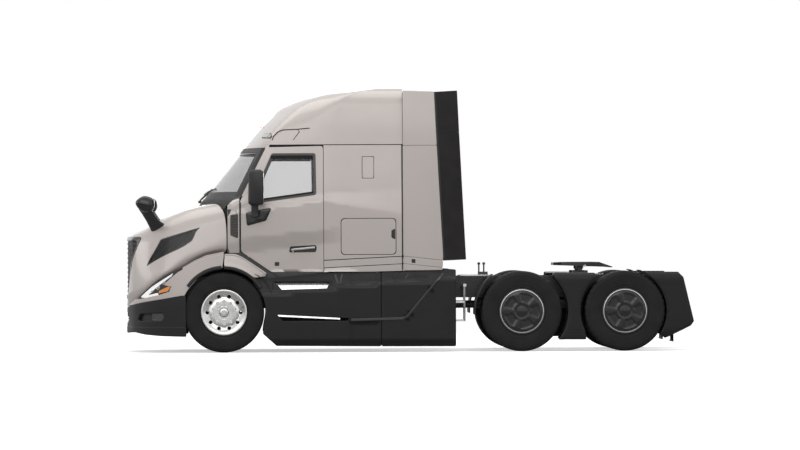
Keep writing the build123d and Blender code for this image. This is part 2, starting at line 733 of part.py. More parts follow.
def tyre_ring(x, y, width):
    """A hollow tyre whose axis runs along Y through (x, y) at axle height."""
    half = width / 2
    outer = [(bead_radius + touch_gap, rim_half - touch_gap),
             (flange_radius + 1, rim_half - touch_gap), (330, half - 8), (430, half),
             (tyre_radius - 19, half - 7), (tyre_radius, half - 35)]
    inner = [(bead_radius + touch_gap, rim_half - 30), (345, half - 30),
             (tyre_radius - 60, half - 28), (tyre_radius - 30, half - 55)]
    with BuildPart() as ring:
        with BuildSketch(Plane.XY.offset(axle_z)):
            with BuildLine():
                profile = outer + [(r, -a) for r, a in reversed(outer)]
                profile += [(r, -a) for r, a in inner] + list(reversed(inner))
                Polyline(*[(x + r, y + a) for r, a in profile], close=True)
            make_face()
        revolve(axis=Axis((x, y, axle_z), (0, 1, 0)))
    return ring.part


def wheel_disc(x, y, outward, points):
    """A turned wheel piece from (radius, offset outwards) points about the wheel's centre."""
    with BuildPart() as disc:
        with BuildSketch(Plane.XY.offset(axle_z)):
            with BuildLine():
                Polyline(*[(x + r, y + outward * a) for r, a in points], close=True)
            make_face()
        revolve(axis=Axis((x, y, axle_z), (0, 1, 0)))
    return disc.part


barrel_outer = bead_radius - rim_wall
barrel_points = [(barrel_outer, -rim_half - flange_width), (flange_radius, -rim_half - flange_width),
                 (flange_radius, -rim_half), (bead_radius, -rim_half), (bead_radius, rim_half),
                 (flange_radius, rim_half), (flange_radius, rim_half + flange_width),
                 (barrel_outer, rim_half + flange_width)]
hub_radius = 110.0
hub_bore = spindle_radius + pin_gap
disc_face = 120.0
disc_plate = 20.0
cap_radius = 75.0
hand_holes = 10
hand_hole_circle = 215.0
hand_hole_radius = 28.0
front_disc = [(barrel_outer, 55), (barrel_outer, 80), (165, disc_face), (cap_radius, disc_face),
              (cap_radius, disc_face - disc_plate), (160, disc_face - disc_plate), (250, 60)]
hub_front = disc_face - disc_plate
front_hub = [(hub_bore, -70), (hub_radius, -70), (hub_radius, hub_front),
             (cap_radius - touch_gap, hub_front), (cap_radius - touch_gap, disc_face + 30),
             (0, disc_face + 30), (0, spindle_end_y - steer_wheel_y + 5),
             (hub_bore, spindle_end_y - steer_wheel_y + 5)]

for side_name, side in (("left", -1), ("right", 1)):
    centre_y = side * steer_wheel_y
    with BuildPart() as steer_tyre:
        add(tyre_ring(x_front, centre_y, steer_tyre_width))
    save(steer_tyre.part, f"steer_tyre_{side_name}")
    with BuildPart() as steer_rim:
        add(wheel_disc(x_front, centre_y, side, barrel_points))
        add(wheel_disc(x_front, centre_y, side, front_disc))
        for turn in range(hand_holes):
            angle = 2 * pi * turn / hand_holes
            add(rod_y(hand_hole_radius, x_front + hand_hole_circle * cos(angle),
                      axle_z + hand_hole_circle * sin(angle), centre_y, centre_y + side * 200),
                mode=Mode.SUBTRACT)
        add(wheel_disc(x_front, centre_y, side, front_hub))
    save(steer_rim.part, f"steer_wheel_{side_name}")

dual_inner_y = dual_outer_y - dual_spacing
dual_mid = dual_spacing / 2
drive_disc = [(barrel_outer, 100), (barrel_outer, 120), (180, dual_mid), (hub_radius, dual_mid),
              (hub_radius, dual_mid - disc_plate / 2), (175, dual_mid - disc_plate / 2)]
drive_hub_y = (housing_half + 10, 1000)
drive_bore = drive_spindle_radius + pin_gap
cover_face = rim_half + flange_width - 6
cover_plate = 14.0

for row, x_drive in (("front", x_drive_1), ("rear", x_drive_2)):
    for side_name, side in (("left", -1), ("right", 1)):
        tag = f"{row}_{side_name}"
        outer_y = side * dual_outer_y
        inner_y = side * dual_inner_y
        with BuildPart() as drive_tyres:
            add(tyre_ring(x_drive, outer_y, dual_tyre_width))
            add(tyre_ring(x_drive, inner_y, dual_tyre_width))
        save(drive_tyres.part, f"drive_tyres_{tag}")
        with BuildPart() as drive_wheels:
            for centre_y, inward in ((outer_y, -side), (inner_y, side)):
                add(wheel_disc(x_drive, centre_y, -inward, barrel_points))
                add(wheel_disc(x_drive, centre_y, inward, drive_disc))
            hub = rod_y(hub_radius, x_drive, axle_z, side * drive_hub_y[0], side * drive_hub_y[1])
            hub -= rod_y(drive_bore, x_drive, axle_z, 0, side * (drive_spindle_end + 5))
            add(hub)
            add(wheel_disc(x_drive, outer_y, side,
                           [(0, cover_face - 30), (200, cover_face - 30),
                            (barrel_outer, cover_face - cover_plate), (barrel_outer, cover_face),
                            (0, cover_face)]))
        save(drive_wheels.part, f"drive_wheels_{tag}")

# ---------------------------------------------------------------- fifth wheel
coupling_x = (x_drive_1 + x_drive_2) / 2 + 138
coupling_z = 1060.0
coupling_boss = 30.0
sub_plate_top = rail_top + 12
pedestal_half = 101.0
pedestal_y = (305.0, 380.0)
ear_y = (240.0, 299.0)
plate_top = 1148.0
plate_depth = 52.0
plate_half = 450.0
kingpin_bore = 25.7
throat_half = 26.0
coupling_pin = 20.0
plate_front = coupling_x - 343
plate_rear = coupling_x + 428

with BuildPart() as fifth_wheel_base:
    add(span_box((coupling_x - 320, coupling_x + 320), (-rail_outer, rail_outer),
                 (rail_top, sub_plate_top)))
    pedestal = span_box((coupling_x - pedestal_half, coupling_x + pedestal_half), pedestal_y,
                        (sub_plate_top, coupling_z - 20))
    pedestal += rod_y(coupling_boss, coupling_x, coupling_z, *pedestal_y)
    pedestal += rod_y(coupling_pin, coupling_x, coupling_z, ear_y[0], pedestal_y[1])
    add(both_sides(pedestal))
save(fifth_wheel_base.part, "fifth_wheel_base")

plate_side = [(plate_front, plate_top - 6), (plate_front + 60, plate_top),
              (coupling_x + 248, plate_top), (plate_rear, plate_top - 62),
              (plate_rear, plate_top - 74), (coupling_x + 315, plate_top - plate_depth - 12),
              (plate_front, plate_top - plate_depth + 12)]
plate_plan = [(plate_front, 300), (plate_front + 90, plate_half), (coupling_x + 120, plate_half),
              (plate_rear, 330), (plate_rear, 170), (coupling_x + 130, throat_half),
              (coupling_x, throat_half), (coupling_x, 0), (plate_front, 0)]
plate_half_form = plan_prism(plate_plan, 900, 1300) & side_prism(plate_side, 0, outside)
with BuildPart() as fifth_wheel_plate:
    add(both_sides(plate_half_form))
    ear = span_box((coupling_x - 45, coupling_x + 45), ear_y,
                   (coupling_z, plate_top - plate_depth + 2))
    ear += rod_y(coupling_boss, coupling_x, coupling_z, *ear_y)
    add(both_sides(ear))
    add(rod_z(kingpin_bore, coupling_x, 0, 1000, 1200), mode=Mode.SUBTRACT)
    for side in (-1, 1):
        add(rod_y(coupling_pin + pin_gap, coupling_x, coupling_z, side * (ear_y[0] - 5),
                  side * (ear_y[1] + 5)), mode=Mode.SUBTRACT)
save(fifth_wheel_plate.part, "fifth_wheel_plate")

# ---------------------------------------------------------------- rear fenders
fender_inner_y = 620.0
fender_outer_y = body_half_width + 10
fender_plate = 15.0
quarter_radius = 597.0
mid_radius_front = 600.0
mid_radius_rear = 578.0
rear_fender_radius = 545.0
bracket_z = (930.0, 960.0)


def arc_shell(x, radius, thickness, y_from, y_to):
    """A round shell about a drive wheel's axis."""
    return rod_y(radius + thickness, x, axle_z, y_from, y_to) - rod_y(radius, x, axle_z,
                                                                      y_from, y_to)


with BuildPart() as fender_quarters:
    strip = arc_shell(x_drive_1, quarter_radius, fender_plate, fender_inner_y, fender_outer_y - 10)
    strip &= side_prism([(x_drive_1 - 700, 470), (x_drive_1 - 500, 470), (x_drive_1 - 380, 985),
                         (x_drive_1 - 700, 985)], 0, outside)
    strip += span_box((x_drive_1 - 470, x_drive_1 - 410), (rail_outer, fender_inner_y + 60),
                      bracket_z) - rod_y(quarter_radius, x_drive_1, axle_z, 0, outside)
    add(both_sides(strip))
save(fender_quarters.part, "fender_quarters")

mid_top = 1014.0
mid_lid_top = mid_top - 6
mid_outline = [(x_drive_1 + 419, mid_top), (x_drive_1 + 933, mid_top - 3),
               (x_drive_2 - 359, mid_top - 29), (x_drive_2 - 497, 173), (x_drive_2 - 508, 155),
               (x_drive_1 + 559, 155), (x_drive_1 + 601, 367), (x_drive_1 + 419, 367)]
with BuildPart() as fender_mids:
    panel = side_prism(mid_outline, fender_outer_y - 30, fender_outer_y)
    panel += span_box((x_drive_1 + 640, x_drive_2 - 600), (rail_outer, fender_outer_y - 29),
                      bracket_z)
    panel += span_box((x_drive_1 + 655, x_drive_2 - 615), (rail_outer + 260, fender_outer_y - 29),
                      (300, bracket_z[0] + 1))
    panel += span_box((mid_outline[0][0], mid_outline[2][0]), (fender_inner_y, fender_outer_y - 29),
                      (mid_lid_top - fender_plate, mid_lid_top))
    panel -= rod_y(mid_radius_front, x_drive_1, axle_z, 0, outside)
    panel -= rod_y(mid_radius_rear, x_drive_2, axle_z, 0, outside)
    add(both_sides(panel))
save(fender_mids.part, "fender_mids")

tail_outline = [(x_drive_2 + 180, 1019), (x_drive_2 + 691, 1017), (x_drive_2 + 754, 948),
                (x_tail, 382), (x_drive_2 + 851, 328), (x_drive_2 + 573, 189),
                (x_drive_2 + 519, 169), (x_drive_2 + 180, 169)]
tail_lid = tail_outline[:4] + [(x_tail - fender_plate, 382), (x_drive_2 + 740, 942),
                               (x_drive_2 + 684, 1017 - fender_plate),
                               (x_drive_2 + 180, 1019 - fender_plate)]
with BuildPart() as fender_tails:
    panel = side_prism(tail_outline, fender_outer_y - 30, fender_outer_y)
    inner_sheet = arc_shell(x_drive_2, rear_fender_radius, fender_plate, fender_inner_y,
                            fender_outer_y - 29)
    inner_sheet &= side_prism(tail_outline, 0, outside)
    panel += inner_sheet
    panel += side_prism(tail_lid, fender_inner_y, fender_outer_y - 29)
    panel += span_box((x_drive_2 + 440, x_drive_2 + 500), (rail_outer, fender_outer_y - 29),
                      (820, 850))
    panel -= rod_y(rear_fender_radius, x_drive_2, axle_z, 0, outside)
    add(both_sides(panel))
save(fender_tails.part, "fender_tails")

flap_x = x_drive_2 + 610
with BuildPart() as mudflaps:
    flap = span_box((flap_x, flap_x + 14), (fender_inner_y + 10, fender_outer_y - 31), (114, 850))
    flap += span_box((flap_x - 5, flap_x + 19), (rail_outer, fender_outer_y - 31), (820, 850))
    add(both_sides(flap))
save(mudflaps.part, "mudflaps")

with BuildPart() as tail_lamps:
    add(both_sides(span_box((rail_rear, rail_rear + 45), (360, 600), (800, 900))))
save(tail_lamps.part, "tail_lamps")

# ---------------------------------------------------------------- behind the cab
deck_x = (cab_back + 770, x_drive_1 - 340)
post_y = 200.0
with BuildPart() as deck_plate:
    add(span_box(deck_x, (-rail_outer, rail_outer), (rail_top, rail_top + 10)))
    add(span_box((x_drive_1 - 523, x_drive_1 - 400), (-post_y - 25, -post_y + 25),
                 (rail_top + 9, rail_top + 50)))
    for x in (x_drive_1 - 523 + 10, x_drive_1 - 448):
        add(rod_z(8, x, -post_y, rail_top + 40, 1134))
save(deck_plate.part, "deck_plate")

step_x = (cab_back + 691, cab_back + 805)
with BuildPart() as frame_step:
    for z in (400, 640):
        add(span_box(step_x, (-1000, -650), (z - 12, z + 12)))
    for y in (-1000, -650):
        add(rod_z(9, step_x[1], y, 388, 873))
    add(span_box((step_x[1] - 20, step_x[1] + 20), (-1010, -rail_outer), (840, 873)))
save(frame_step.part, "frame_step")

tank_radius = 285.0
tank_y = 830.0
tank_z = 560.0
tank_x = (x_front + 2060, fairing_rear - 60)
box_x = (x_front + 720, x_front + 2000)
box_z = (230.0, 770.0)
with BuildPart() as fuel_tanks:
    tank = rod_x(tank_radius, tank_y, tank_z, *tank_x)
    for x in (tank_x[0] + 150, tank_x[1] - 150):
        tank += span_box((x - 30, x + 30), (rail_outer, fairing_inner_y), (760, 800))
        tank += span_box((x - 30, x + 30), (tank_y + 200, fairing_inner_y), (tank_z - 20, tank_z + 20))
    add(both_sides(tank))
save(fuel_tanks.part, "fuel_tanks")

with BuildPart() as side_boxes:
    box = span_box(box_x, (rail_outer, body_half_width - step_depth - 10), box_z)
    for x in (box_x[0] + 60, box_x[1] - 60):
        box += span_box((x - 30, x + 30), (900, fairing_inner_y), (box_z[0] + 60, box_z[0] + 100))
    add(both_sides(box))
save(side_boxes.part, "side_boxes")

# ---------------------------------------------------------------- cab interior
cab_floor = floor_z + cab_wall
seat_x = (x_front + 820, x_front + 1320)
seat_y = 520.0
seat_half = 260.0
with BuildPart() as seats:
    base = span_box((seat_x[0] + 60, seat_x[1] - 60), (seat_y - 180, seat_y + 180),
                    (cab_floor, 1480))
    base += span_box(seat_x, (seat_y - seat_half, seat_y + seat_half), (1479, 1610))
    base += side_prism([(seat_x[1] - 130, 1600), (seat_x[1], 1600), (seat_x[1] + 70, 2230),
                        (seat_x[1] - 20, 2230)], seat_y - seat_half, seat_y + seat_half)
    base += side_prism([(seat_x[1] - 5, 2229), (seat_x[1] + 60, 2229), (seat_x[1] + 80, 2400),
                        (seat_x[1] + 10, 2400)], seat_y - 130, seat_y + 130)
    add(both_sides(base))
save(seats.part, "seats")

with BuildPart() as bunk:
    add(span_box((cab_back - cab_wall - 800, cab_back - cab_wall), (-1085, 1085),
                 (cab_floor, 1650)))
save(bunk.part, "bunk")

dash_x = (cowl_x + cab_wall, x_front + 420)
with BuildPart() as dashboard:
    add(span_box(dash_x, (-1010, 1010), (1400, 1850)))
    add(span_box((cowl_x + cab_wall, dash_x[0] + 200), (-470, 470), (cab_floor, 1401)))
save(dashboard.part, "dashboard")

wheel_tilt = 40.0
wheel_centre = (x_front + 612, -seat_y, 1720)
with BuildPart() as steering_wheel:
    tilted = Plane(origin=wheel_centre,
                   x_dir=(cos(radians(wheel_tilt)), 0, -sin(radians(wheel_tilt))),
                   z_dir=(sin(radians(wheel_tilt)), 0, cos(radians(wheel_tilt))))
    with Locations(tilted):
        Torus(215, 16)
        Cylinder(60, 40)
        for turn in (90, 210, 330):
            with Locations(Rot(0, 0, turn) * Pos(128, 0, 0)):
                Box(160, 36, 14)
    with Locations(tilted):
        with Locations(Pos(0, 0, -200)):
            Cylinder(28, 380)
    add(cab_form - span_box(dash_x, (-1010, 1010), (1400, 1850)), mode=Mode.INTERSECT)
save(steering_wheel.part, "steering_wheel")
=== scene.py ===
import json
import math

import bpy
import numpy as np
from mathutils import Matrix, Vector
from mathutils.geometry import delaunay_2d_cdt


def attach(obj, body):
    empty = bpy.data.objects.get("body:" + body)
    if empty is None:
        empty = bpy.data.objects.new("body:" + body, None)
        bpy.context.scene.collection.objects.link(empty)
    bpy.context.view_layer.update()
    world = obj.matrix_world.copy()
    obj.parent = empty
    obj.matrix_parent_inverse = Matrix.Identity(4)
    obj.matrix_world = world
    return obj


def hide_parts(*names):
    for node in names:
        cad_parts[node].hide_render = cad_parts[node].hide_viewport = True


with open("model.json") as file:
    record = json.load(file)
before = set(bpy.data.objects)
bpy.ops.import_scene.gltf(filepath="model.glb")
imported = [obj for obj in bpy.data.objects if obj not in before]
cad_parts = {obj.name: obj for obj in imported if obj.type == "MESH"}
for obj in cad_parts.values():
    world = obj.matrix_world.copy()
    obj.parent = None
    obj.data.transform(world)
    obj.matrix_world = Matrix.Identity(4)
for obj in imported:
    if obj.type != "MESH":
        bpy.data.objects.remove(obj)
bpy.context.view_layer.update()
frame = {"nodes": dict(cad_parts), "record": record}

scene = bpy.context.scene

# Lengths in the tables are in millimetres; the truck faces -X and its left side is -Y.
MM = 0.001
FRONT = -2403.5                    # x of the front axle
DRIVE_1, DRIVE_2 = 1445.5, 2779.5  # x of the drive axles
AXLE_Z = 519.0
CAB_BACK = FRONT + 2313
LEFT = (0, -1, 0)


# ---------------------------------------------------------------- shapes
# A shape is its vertices in metres, its faces and the normals of the faces' corners or None.
def join(*shapes):
    """Several shapes as one."""
    verts, faces, normals = [], [], []
    count = 0
    for v, f, n in shapes:
        verts.append(np.asarray(v, float).reshape(-1, 3))
        faces += [tuple(i + count for i in face) for face in f]
        normals.append(n)
        count += len(v)
    known = all(n is not None for n in normals)
    return np.vstack(verts), faces, np.vstack(normals) if known else None


def flipped(shape):
    """The mirror image on the truck's other side."""
    v, f, n = shape
    v = np.array(v, float) * (1, -1, 1)
    faces = [tuple(reversed(face)) for face in f]
    if n is not None:
        corners, start = [], 0
        for face in f:
            corners.append(n[start:start + len(face)][::-1])
            start += len(face)
        n = np.vstack(corners) * (1, -1, 1)
    return v, faces, n


def both(shape):
    """A shape and its mirror image."""
    return join(shape, flipped(shape))


def as_made(shape):
    return shape


SIDES = (("left", as_made), ("right", flipped))


def piece(name, shape, material, body="chassis", replaces=(), bevel=0.0, angle=32,
          smooth=0):
    """A shown object made from a shape."""
    v, f, n = shape
    mesh = bpy.data.meshes.new(name)
    mesh.from_pydata([tuple(p) for p in v], [], f)
    mesh.polygons.foreach_set("use_smooth", [True] * len(mesh.polygons))
    if n is not None and len(n) == len(mesh.loops):
        mesh.normals_split_custom_set([tuple(c) for c in n])
    else:
        mesh.set_sharp_from_angle(angle=math.radians(angle))
    mesh.update()
    obj = bpy.data.objects.new(name, mesh)
    scene.collection.objects.link(obj)
    mesh.materials.append(MATERIALS[material])
    if bevel:
        cut = obj.modifiers.new("bevel", "BEVEL")
        cut.width = bevel
        cut.segments = 2
        cut.limit_method = "ANGLE"
        cut.angle_limit = math.radians(angle)
        cut.harden_normals = True
    if smooth:
        sub = obj.modifiers.new("subdivision", "SUBSURF")
        sub.levels = smooth
        sub.render_levels = smooth
    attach(obj, body)
    if replaces:
        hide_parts(*replaces)
    return obj


# ---------------------------------------------------------------- plane outlines
def metres(points):
    return np.asarray(points, float) * MM


def all_round(count, start=0.0):
    """Even angles once round."""
    return np.linspace(start, start + 2 * math.pi, count, endpoint=False)


def polar(radius, turn):
    return radius * math.cos(turn), radius * math.sin(turn)


def circle(radius, count, at=(0, 0), start=0.0):
    return np.array([(at[0] + radius * math.cos(a), at[1] + radius * math.sin(a))
                     for a in all_round(count, start)])


def arc_points(x, radius, start, end, count, z=AXLE_Z):
    """Points (x, z) of an arc between two angles in degrees."""
    return [(x + radius * math.cos(a), z + radius * math.sin(a))
            for a in np.radians(np.linspace(start, end, count))]


def distance_along(line):
    """The length from a line's start to each of its points."""
    return np.concatenate(((0,), np.cumsum(np.linalg.norm(np.diff(line, axis=0), axis=1))))


def bend(a, b, c, t):
    """The place at t on the curve from a to c that is pulled towards b."""
    return (1 - t) ** 2 * a + 2 * t * (1 - t) * b + t * t * c


def area(points):
    """The area in an outline, above 0 when it runs anticlockwise."""
    p = np.asarray(points, float)
    q = np.roll(p, -1, axis=0)
    return 0.5 * np.sum(p[:, 0] * q[:, 1] - q[:, 0] * p[:, 1])


def ccw(points):
    p = np.asarray(points, float)
    return p if area(p) > 0 else p[::-1]


def inset(points, amount):
    """A closed outline with straight edges moved inwards."""
    p = ccw(points)
    out = []
    for i in range(len(p)):
        a, b, c = p[i - 1], p[i], p[(i + 1) % len(p)]
        d1 = (b - a) / np.linalg.norm(b - a)
        d2 = (c - b) / np.linalg.norm(c - b)
        n1 = np.array((-d1[1], d1[0]))
        n2 = np.array((-d2[1], d2[0]))
        bisector = n1 + n2
        out.append(b + bisector * amount / max(0.25, 1 + n1 @ n2))
    return np.array(out)


def grow(points, amount):
    return inset(points, -amount)


def rounded(points, radius, segments=5):
    """A closed outline with its corners rounded; radius is one number or one for each corner."""
    p = np.asarray(points, float)
    radii = [radius] * len(p) if np.isscalar(radius) else radius
    out = []
    for i in range(len(p)):
        a, b, c = p[i - 1], p[i], p[(i + 1) % len(p)]
        r = radii[i]
        to_a, to_c = a - b, c - b
        la, lc = np.linalg.norm(to_a), np.linalg.norm(to_c)
        turn = math.acos(np.clip(to_a @ to_c / (la * lc), -1, 1))
        reach = min(r / max(math.tan(turn / 2), 1e-3), 0.45 * la, 0.45 * lc)
        if r <= 0 or turn > math.radians(176):
            out.append(b)
            continue
        start, end = b + to_a / la * reach, b + to_c / lc * reach
        for k in range(segments + 1):
            t = k / segments
            out.append(bend(start, b, end, t))
    return np.array(out)


def dense(points, step):
    """A closed outline with its long edges divided."""
    p = np.asarray(points, float)
    out = []
    for a, b in zip(p, np.roll(p, -1, axis=0)):
        n = max(1, math.ceil(np.linalg.norm(b - a) / step))
        out += [a + (b - a) * k / n for k in range(n)]
    return np.array(out)


def chaikin(points, rounds, closed=False):
    """A polyline with its corners cut again and again."""
    p = np.asarray(points, float)
    for _ in range(rounds):
        q = np.roll(p, -1, axis=0) if closed else p[1:]
        base = p if closed else p[:-1]
        cut = np.empty((2 * len(base), p.shape[1]))
        cut[0::2] = 0.75 * base + 0.25 * q
        cut[1::2] = 0.25 * base + 0.75 * q
        p = cut if closed else np.vstack((p[:1], cut, p[-1:]))
    return p


def within(poly, pts):
    """Which points lie in the closed outline."""
    x, y = pts[:, 0], pts[:, 1]
    hit = np.zeros(len(pts), bool)
    for (x0, y0), (x1, y1) in zip(poly, np.roll(poly, -1, axis=0)):
        if y0 == y1:
            continue
        crosses = (y0 > y) != (y1 > y)
        hit ^= crosses & (x < (x1 - x0) * (y - y0) / (y1 - y0) + x0)
    return hit


def far_from(poly, pts, gap):
    """Which points lie further than gap from every edge of the closed outline."""
    ok = np.ones(len(pts), bool)
    for a, b in zip(poly, np.roll(poly, -1, axis=0)):
        d = b - a
        t = np.clip((pts - a) @ d / max(d @ d, 1e-12), 0, 1)
        ok &= np.linalg.norm(pts - a - np.outer(t, d), axis=1) > gap
    return ok


def unit(v):
    return v / np.maximum(np.linalg.norm(v, axis=1, keepdims=True), 1e-12)


SLOPE_STEP = 0.001                                    # metres between places that give a slope
EDGE_TURNS = ((35, 0), (65, 0), (90, 0), (90, 1))     # degrees, share of the panel's depth


def skin(outline, surface, step=0.045, holes=(), roll=0.005, depth=0.02, lift=0.0):
    """A closed thin panel on a surface: outline and holes are (u, v) loops in metres, and
    surface(points) gives the place in space. Its edges turn in by a small radius."""
    loops = [ccw(dense(outline, step * 0.6))] + [ccw(dense(h, step * 0.5))[::-1] for h in holes]
    low, high = loops[0].min(0), loops[0].max(0)
    us = np.linspace(low[0], high[0], max(2, math.ceil((high[0] - low[0]) / step)) + 1)
    vs = np.linspace(low[1], high[1], max(2, math.ceil((high[1] - low[1]) / step)) + 1)
    grid = np.array([(u, v) for u in us for v in vs])
    keep = within(loops[0], grid)
    for loop in loops[1:]:
        keep &= ~within(loop, grid)
    for loop in loops:
        keep &= far_from(loop, grid, step * 0.35)
    grid = grid[keep]
    flat, edges, spans = [], [], []
    for loop in loops:
        start = len(flat)
        flat += [tuple(p) for p in loop]
        edges += [(start + i, start + (i + 1) % len(loop)) for i in range(len(loop))]
        spans.append((start, len(loop)))
    flat += [tuple(p) for p in grid]
    made = delaunay_2d_cdt([Vector(p) for p in flat], edges, [], 1, 1e-7)
    uv = np.array([tuple(p) for p in made[0]])
    new_index = {}
    for i, sources in enumerate(made[3]):
        for s in sources:
            new_index[s] = i
    tris = np.array([f for f in made[2] if len(f) == 3])
    centres = uv[tris].mean(1)
    good = within(loops[0], centres)
    for loop in loops[1:]:
        good &= ~within(loop, centres)
    tris = tris[good]
    e = SLOPE_STEP
    at = surface(uv)
    du = surface(uv + (e, 0)) - surface(uv - (e, 0))
    dv = surface(uv + (0, e)) - surface(uv - (0, e))
    normal = unit(np.cross(du, dv))
    at = at + normal * lift
    n = len(uv)
    verts = [at]
    faces = [tuple(t) for t in tris]
    corners = [normal[tris].reshape(-1, 3)]
    count = n
    back_points = at - normal * (roll + depth)
    last_rings = {}
    for start, size in spans:
        ring = np.array([new_index[start + i] for i in range(size)])
        p = at[ring]
        nn = normal[ring]
        tangent = unit(np.roll(p, -1, axis=0) - np.roll(p, 1, axis=0))
        out = unit(np.cross(tangent, nn))
        previous, previous_normal = ring, nn
        for turn, drop in EDGE_TURNS:
            a = math.radians(turn)
            q = p + out * roll * math.sin(a) - nn * (roll * (1 - math.cos(a)) + depth * drop)
            q_normal = nn * math.cos(a) + out * math.sin(a)
            index = np.arange(count, count + size)
            verts.append(q)
            count += size
            for i in range(size):
                j = (i + 1) % size
                faces.append((previous[j], previous[i], index[i], index[j]))
                corners.append(np.array((previous_normal[j], previous_normal[i],
                                         q_normal[i], q_normal[j])))
            previous, previous_normal = index, q_normal
        for i in range(size):
            last_rings[ring[i]] = previous[i]
    inner = [i for i in range(n) if i not in last_rings]
    remap = dict(last_rings)
    for k, i in enumerate(inner):
        remap[i] = count + k
    verts.append(back_points[inner])
    for t in tris:
        faces.append((remap[t[0]], remap[t[2]], remap[t[1]]))
        corners.append(-normal[[t[0], t[2], t[1]]])
    return np.vstack(verts), faces, np.vstack(corners)


# ---------------------------------------------------------------- simple solids
def prism(points, frame_at, depth):
    """An outline in a plane made into a block. frame_at is (origin, u, v); it grows along u x v."""
    origin, u, v = (np.asarray(a, float) for a in frame_at)
    w = np.cross(u, v)
    p = ccw(points)
    base = origin + p[:, :1] * u + p[:, 1:] * v
    top = base + w * depth
    n = len(p)
    faces = [tuple(range(n - 1, -1, -1)), tuple(range(n, 2 * n))]
    faces += [(i, (i + 1) % n, n + (i + 1) % n, n + i) for i in range(n)]
    return np.vstack((base, top)), faces, None


def block(x, y, z):
    """A box from its (low, high) pairs in millimetres."""
    corners = metres([(x[0], y[0]), (x[1], y[0]), (x[1], y[1]), (x[0], y[1])])
    return prism(corners, ((0, 0, z[0] * MM), (1, 0, 0), (0, 1, 0)), (z[1] - z[0]) * MM)


def side_block(points, y_from, y_to):
    """A block from an (x, z) outline in millimetres between two y planes."""
    low, high = sorted((y_from, y_to))
    return prism(metres(points), ((0, high * MM, 0), (1, 0, 0), (0, 0, 1)), (high - low) * MM)


def lathe(profile, centre, axis, segments):
    """A turned shape: profile is a closed (radius, along) outline about an axis through centre."""
    axis = Vector(axis).normalized()
    side = axis.orthogonal().normalized()
    if abs(axis.y) > 0.9:
        side = Vector((1, 0, 0))
    other = axis.cross(side)
    c = np.asarray(centre, float) * MM
    p = np.asarray(profile, float) * MM
    verts, faces = [], []
    n = len(p)
    for k in range(segments):
        a = 2 * math.pi * k / segments
        ray = np.array(side) * math.cos(a) + np.array(other) * math.sin(a)
        verts += [c + ray * r + np.array(axis) * h for r, h in p]
    for k in range(segments):
        m = (k + 1) % segments
        for i in range(n):
            j = (i + 1) % n
            faces.append((k * n + i, k * n + j, m * n + j, m * n + i))
    if area(p) < 0:
        faces = [tuple(reversed(f)) for f in faces]
    return np.array(verts), faces, None


def tube(path, radii, segments=12, closed=False):
    """A bar along points in millimetres; radii is a number, an (across, up) pair or one for each
    point."""
    pts = np.asarray(path, float) * MM
    n = len(pts)
    pair = np.isscalar(radii) or len(radii) == 2
    sizes = np.asarray([np.ones(2) * radii] * n if pair else radii, float) * MM
    if sizes.ndim == 1:
        sizes = np.stack((sizes, sizes), 1)
    verts, faces = [], []
    reference = Vector((0, 1, 0))
    for i in range(n):
        before = pts[i - 1] if (i or closed) else pts[i]
        after = pts[(i + 1) % n] if (i < n - 1 or closed) else pts[i]
        t = Vector(after - before).normalized()
        a = reference - t * reference.dot(t)
        if a.length < 0.2:
            a = Vector((1, 0, 0)) - t * t.x
        a.normalize()
        b = t.cross(a)
        for k in range(segments):
            w = 2 * math.pi * k / segments
            verts.append(pts[i] + np.array(a) * sizes[i, 0] * math.cos(w)
                         + np.array(b) * sizes[i, 1] * math.sin(w))
    for i in range(n if closed else n - 1):
        j = (i + 1) % n
        for k in range(segments):
            m = (k + 1) % segments
            faces.append((i * segments + k, i * segments + m, j * segments + m, j * segments + k))
    if not closed:
        faces.append(tuple(range(segments - 1, -1, -1)))
        faces.append(tuple((n - 1) * segments + k for k in range(segments)))
    return np.array(verts), faces, None


def spline(points, per=8):
    """A smooth curve through points."""
    p = np.asarray(points, float)
    p = np.vstack((2 * p[0] - p[1], p, 2 * p[-1] - p[-2]))
    out = []
    for i in range(1, len(p) - 2):
        for k in range(per):
            t = k / per
            out.append(0.5 * (2 * p[i] + (p[i + 1] - p[i - 1]) * t
                              + (2 * p[i - 1] - 5 * p[i] + 4 * p[i + 1] - p[i + 2]) * t * t
                              + (3 * p[i] - p[i - 1] - 3 * p[i + 1] + p[i + 2]) * t ** 3))
    out.append(p[-2])
    return np.array(out)


def bolts(places, axis, radius, height, sides=6):
    """Hexagon heads at places in millimetres."""
    heads = [lathe([(0, 0), (radius, 0), (radius, height * 0.8), (radius * 0.82, height),
                    (0, height)], at, axis, sides) for at in places]
    return join(*heads)


def smooth_step(t):
    t = np.clip(t, 0, 1)
    return t * t * (3 - 2 * t)


# ---------------------------------------------------------------- materials
MATERIALS, SLOTS = {}, {}
NOISE_ROUGHNESS = 0.55
NOISE_SPAN = (0.3, 0.7)          # the part of a pattern's range that is put to use


def add_node(tree, kind, *wires, **inputs):
    """A node; wires go to its first sockets in turn, inputs to the sockets of that name."""
    made = tree.nodes.new("ShaderNode" + kind)
    named = ((made.inputs[key.replace("_", " ")], value) for key, value in inputs.items())
    for socket, value in (*zip(made.inputs, wires), *named):
        if isinstance(value, bpy.types.NodeSocket):
            tree.links.new(value, socket)
        else:
            socket.default_value = value
    return made


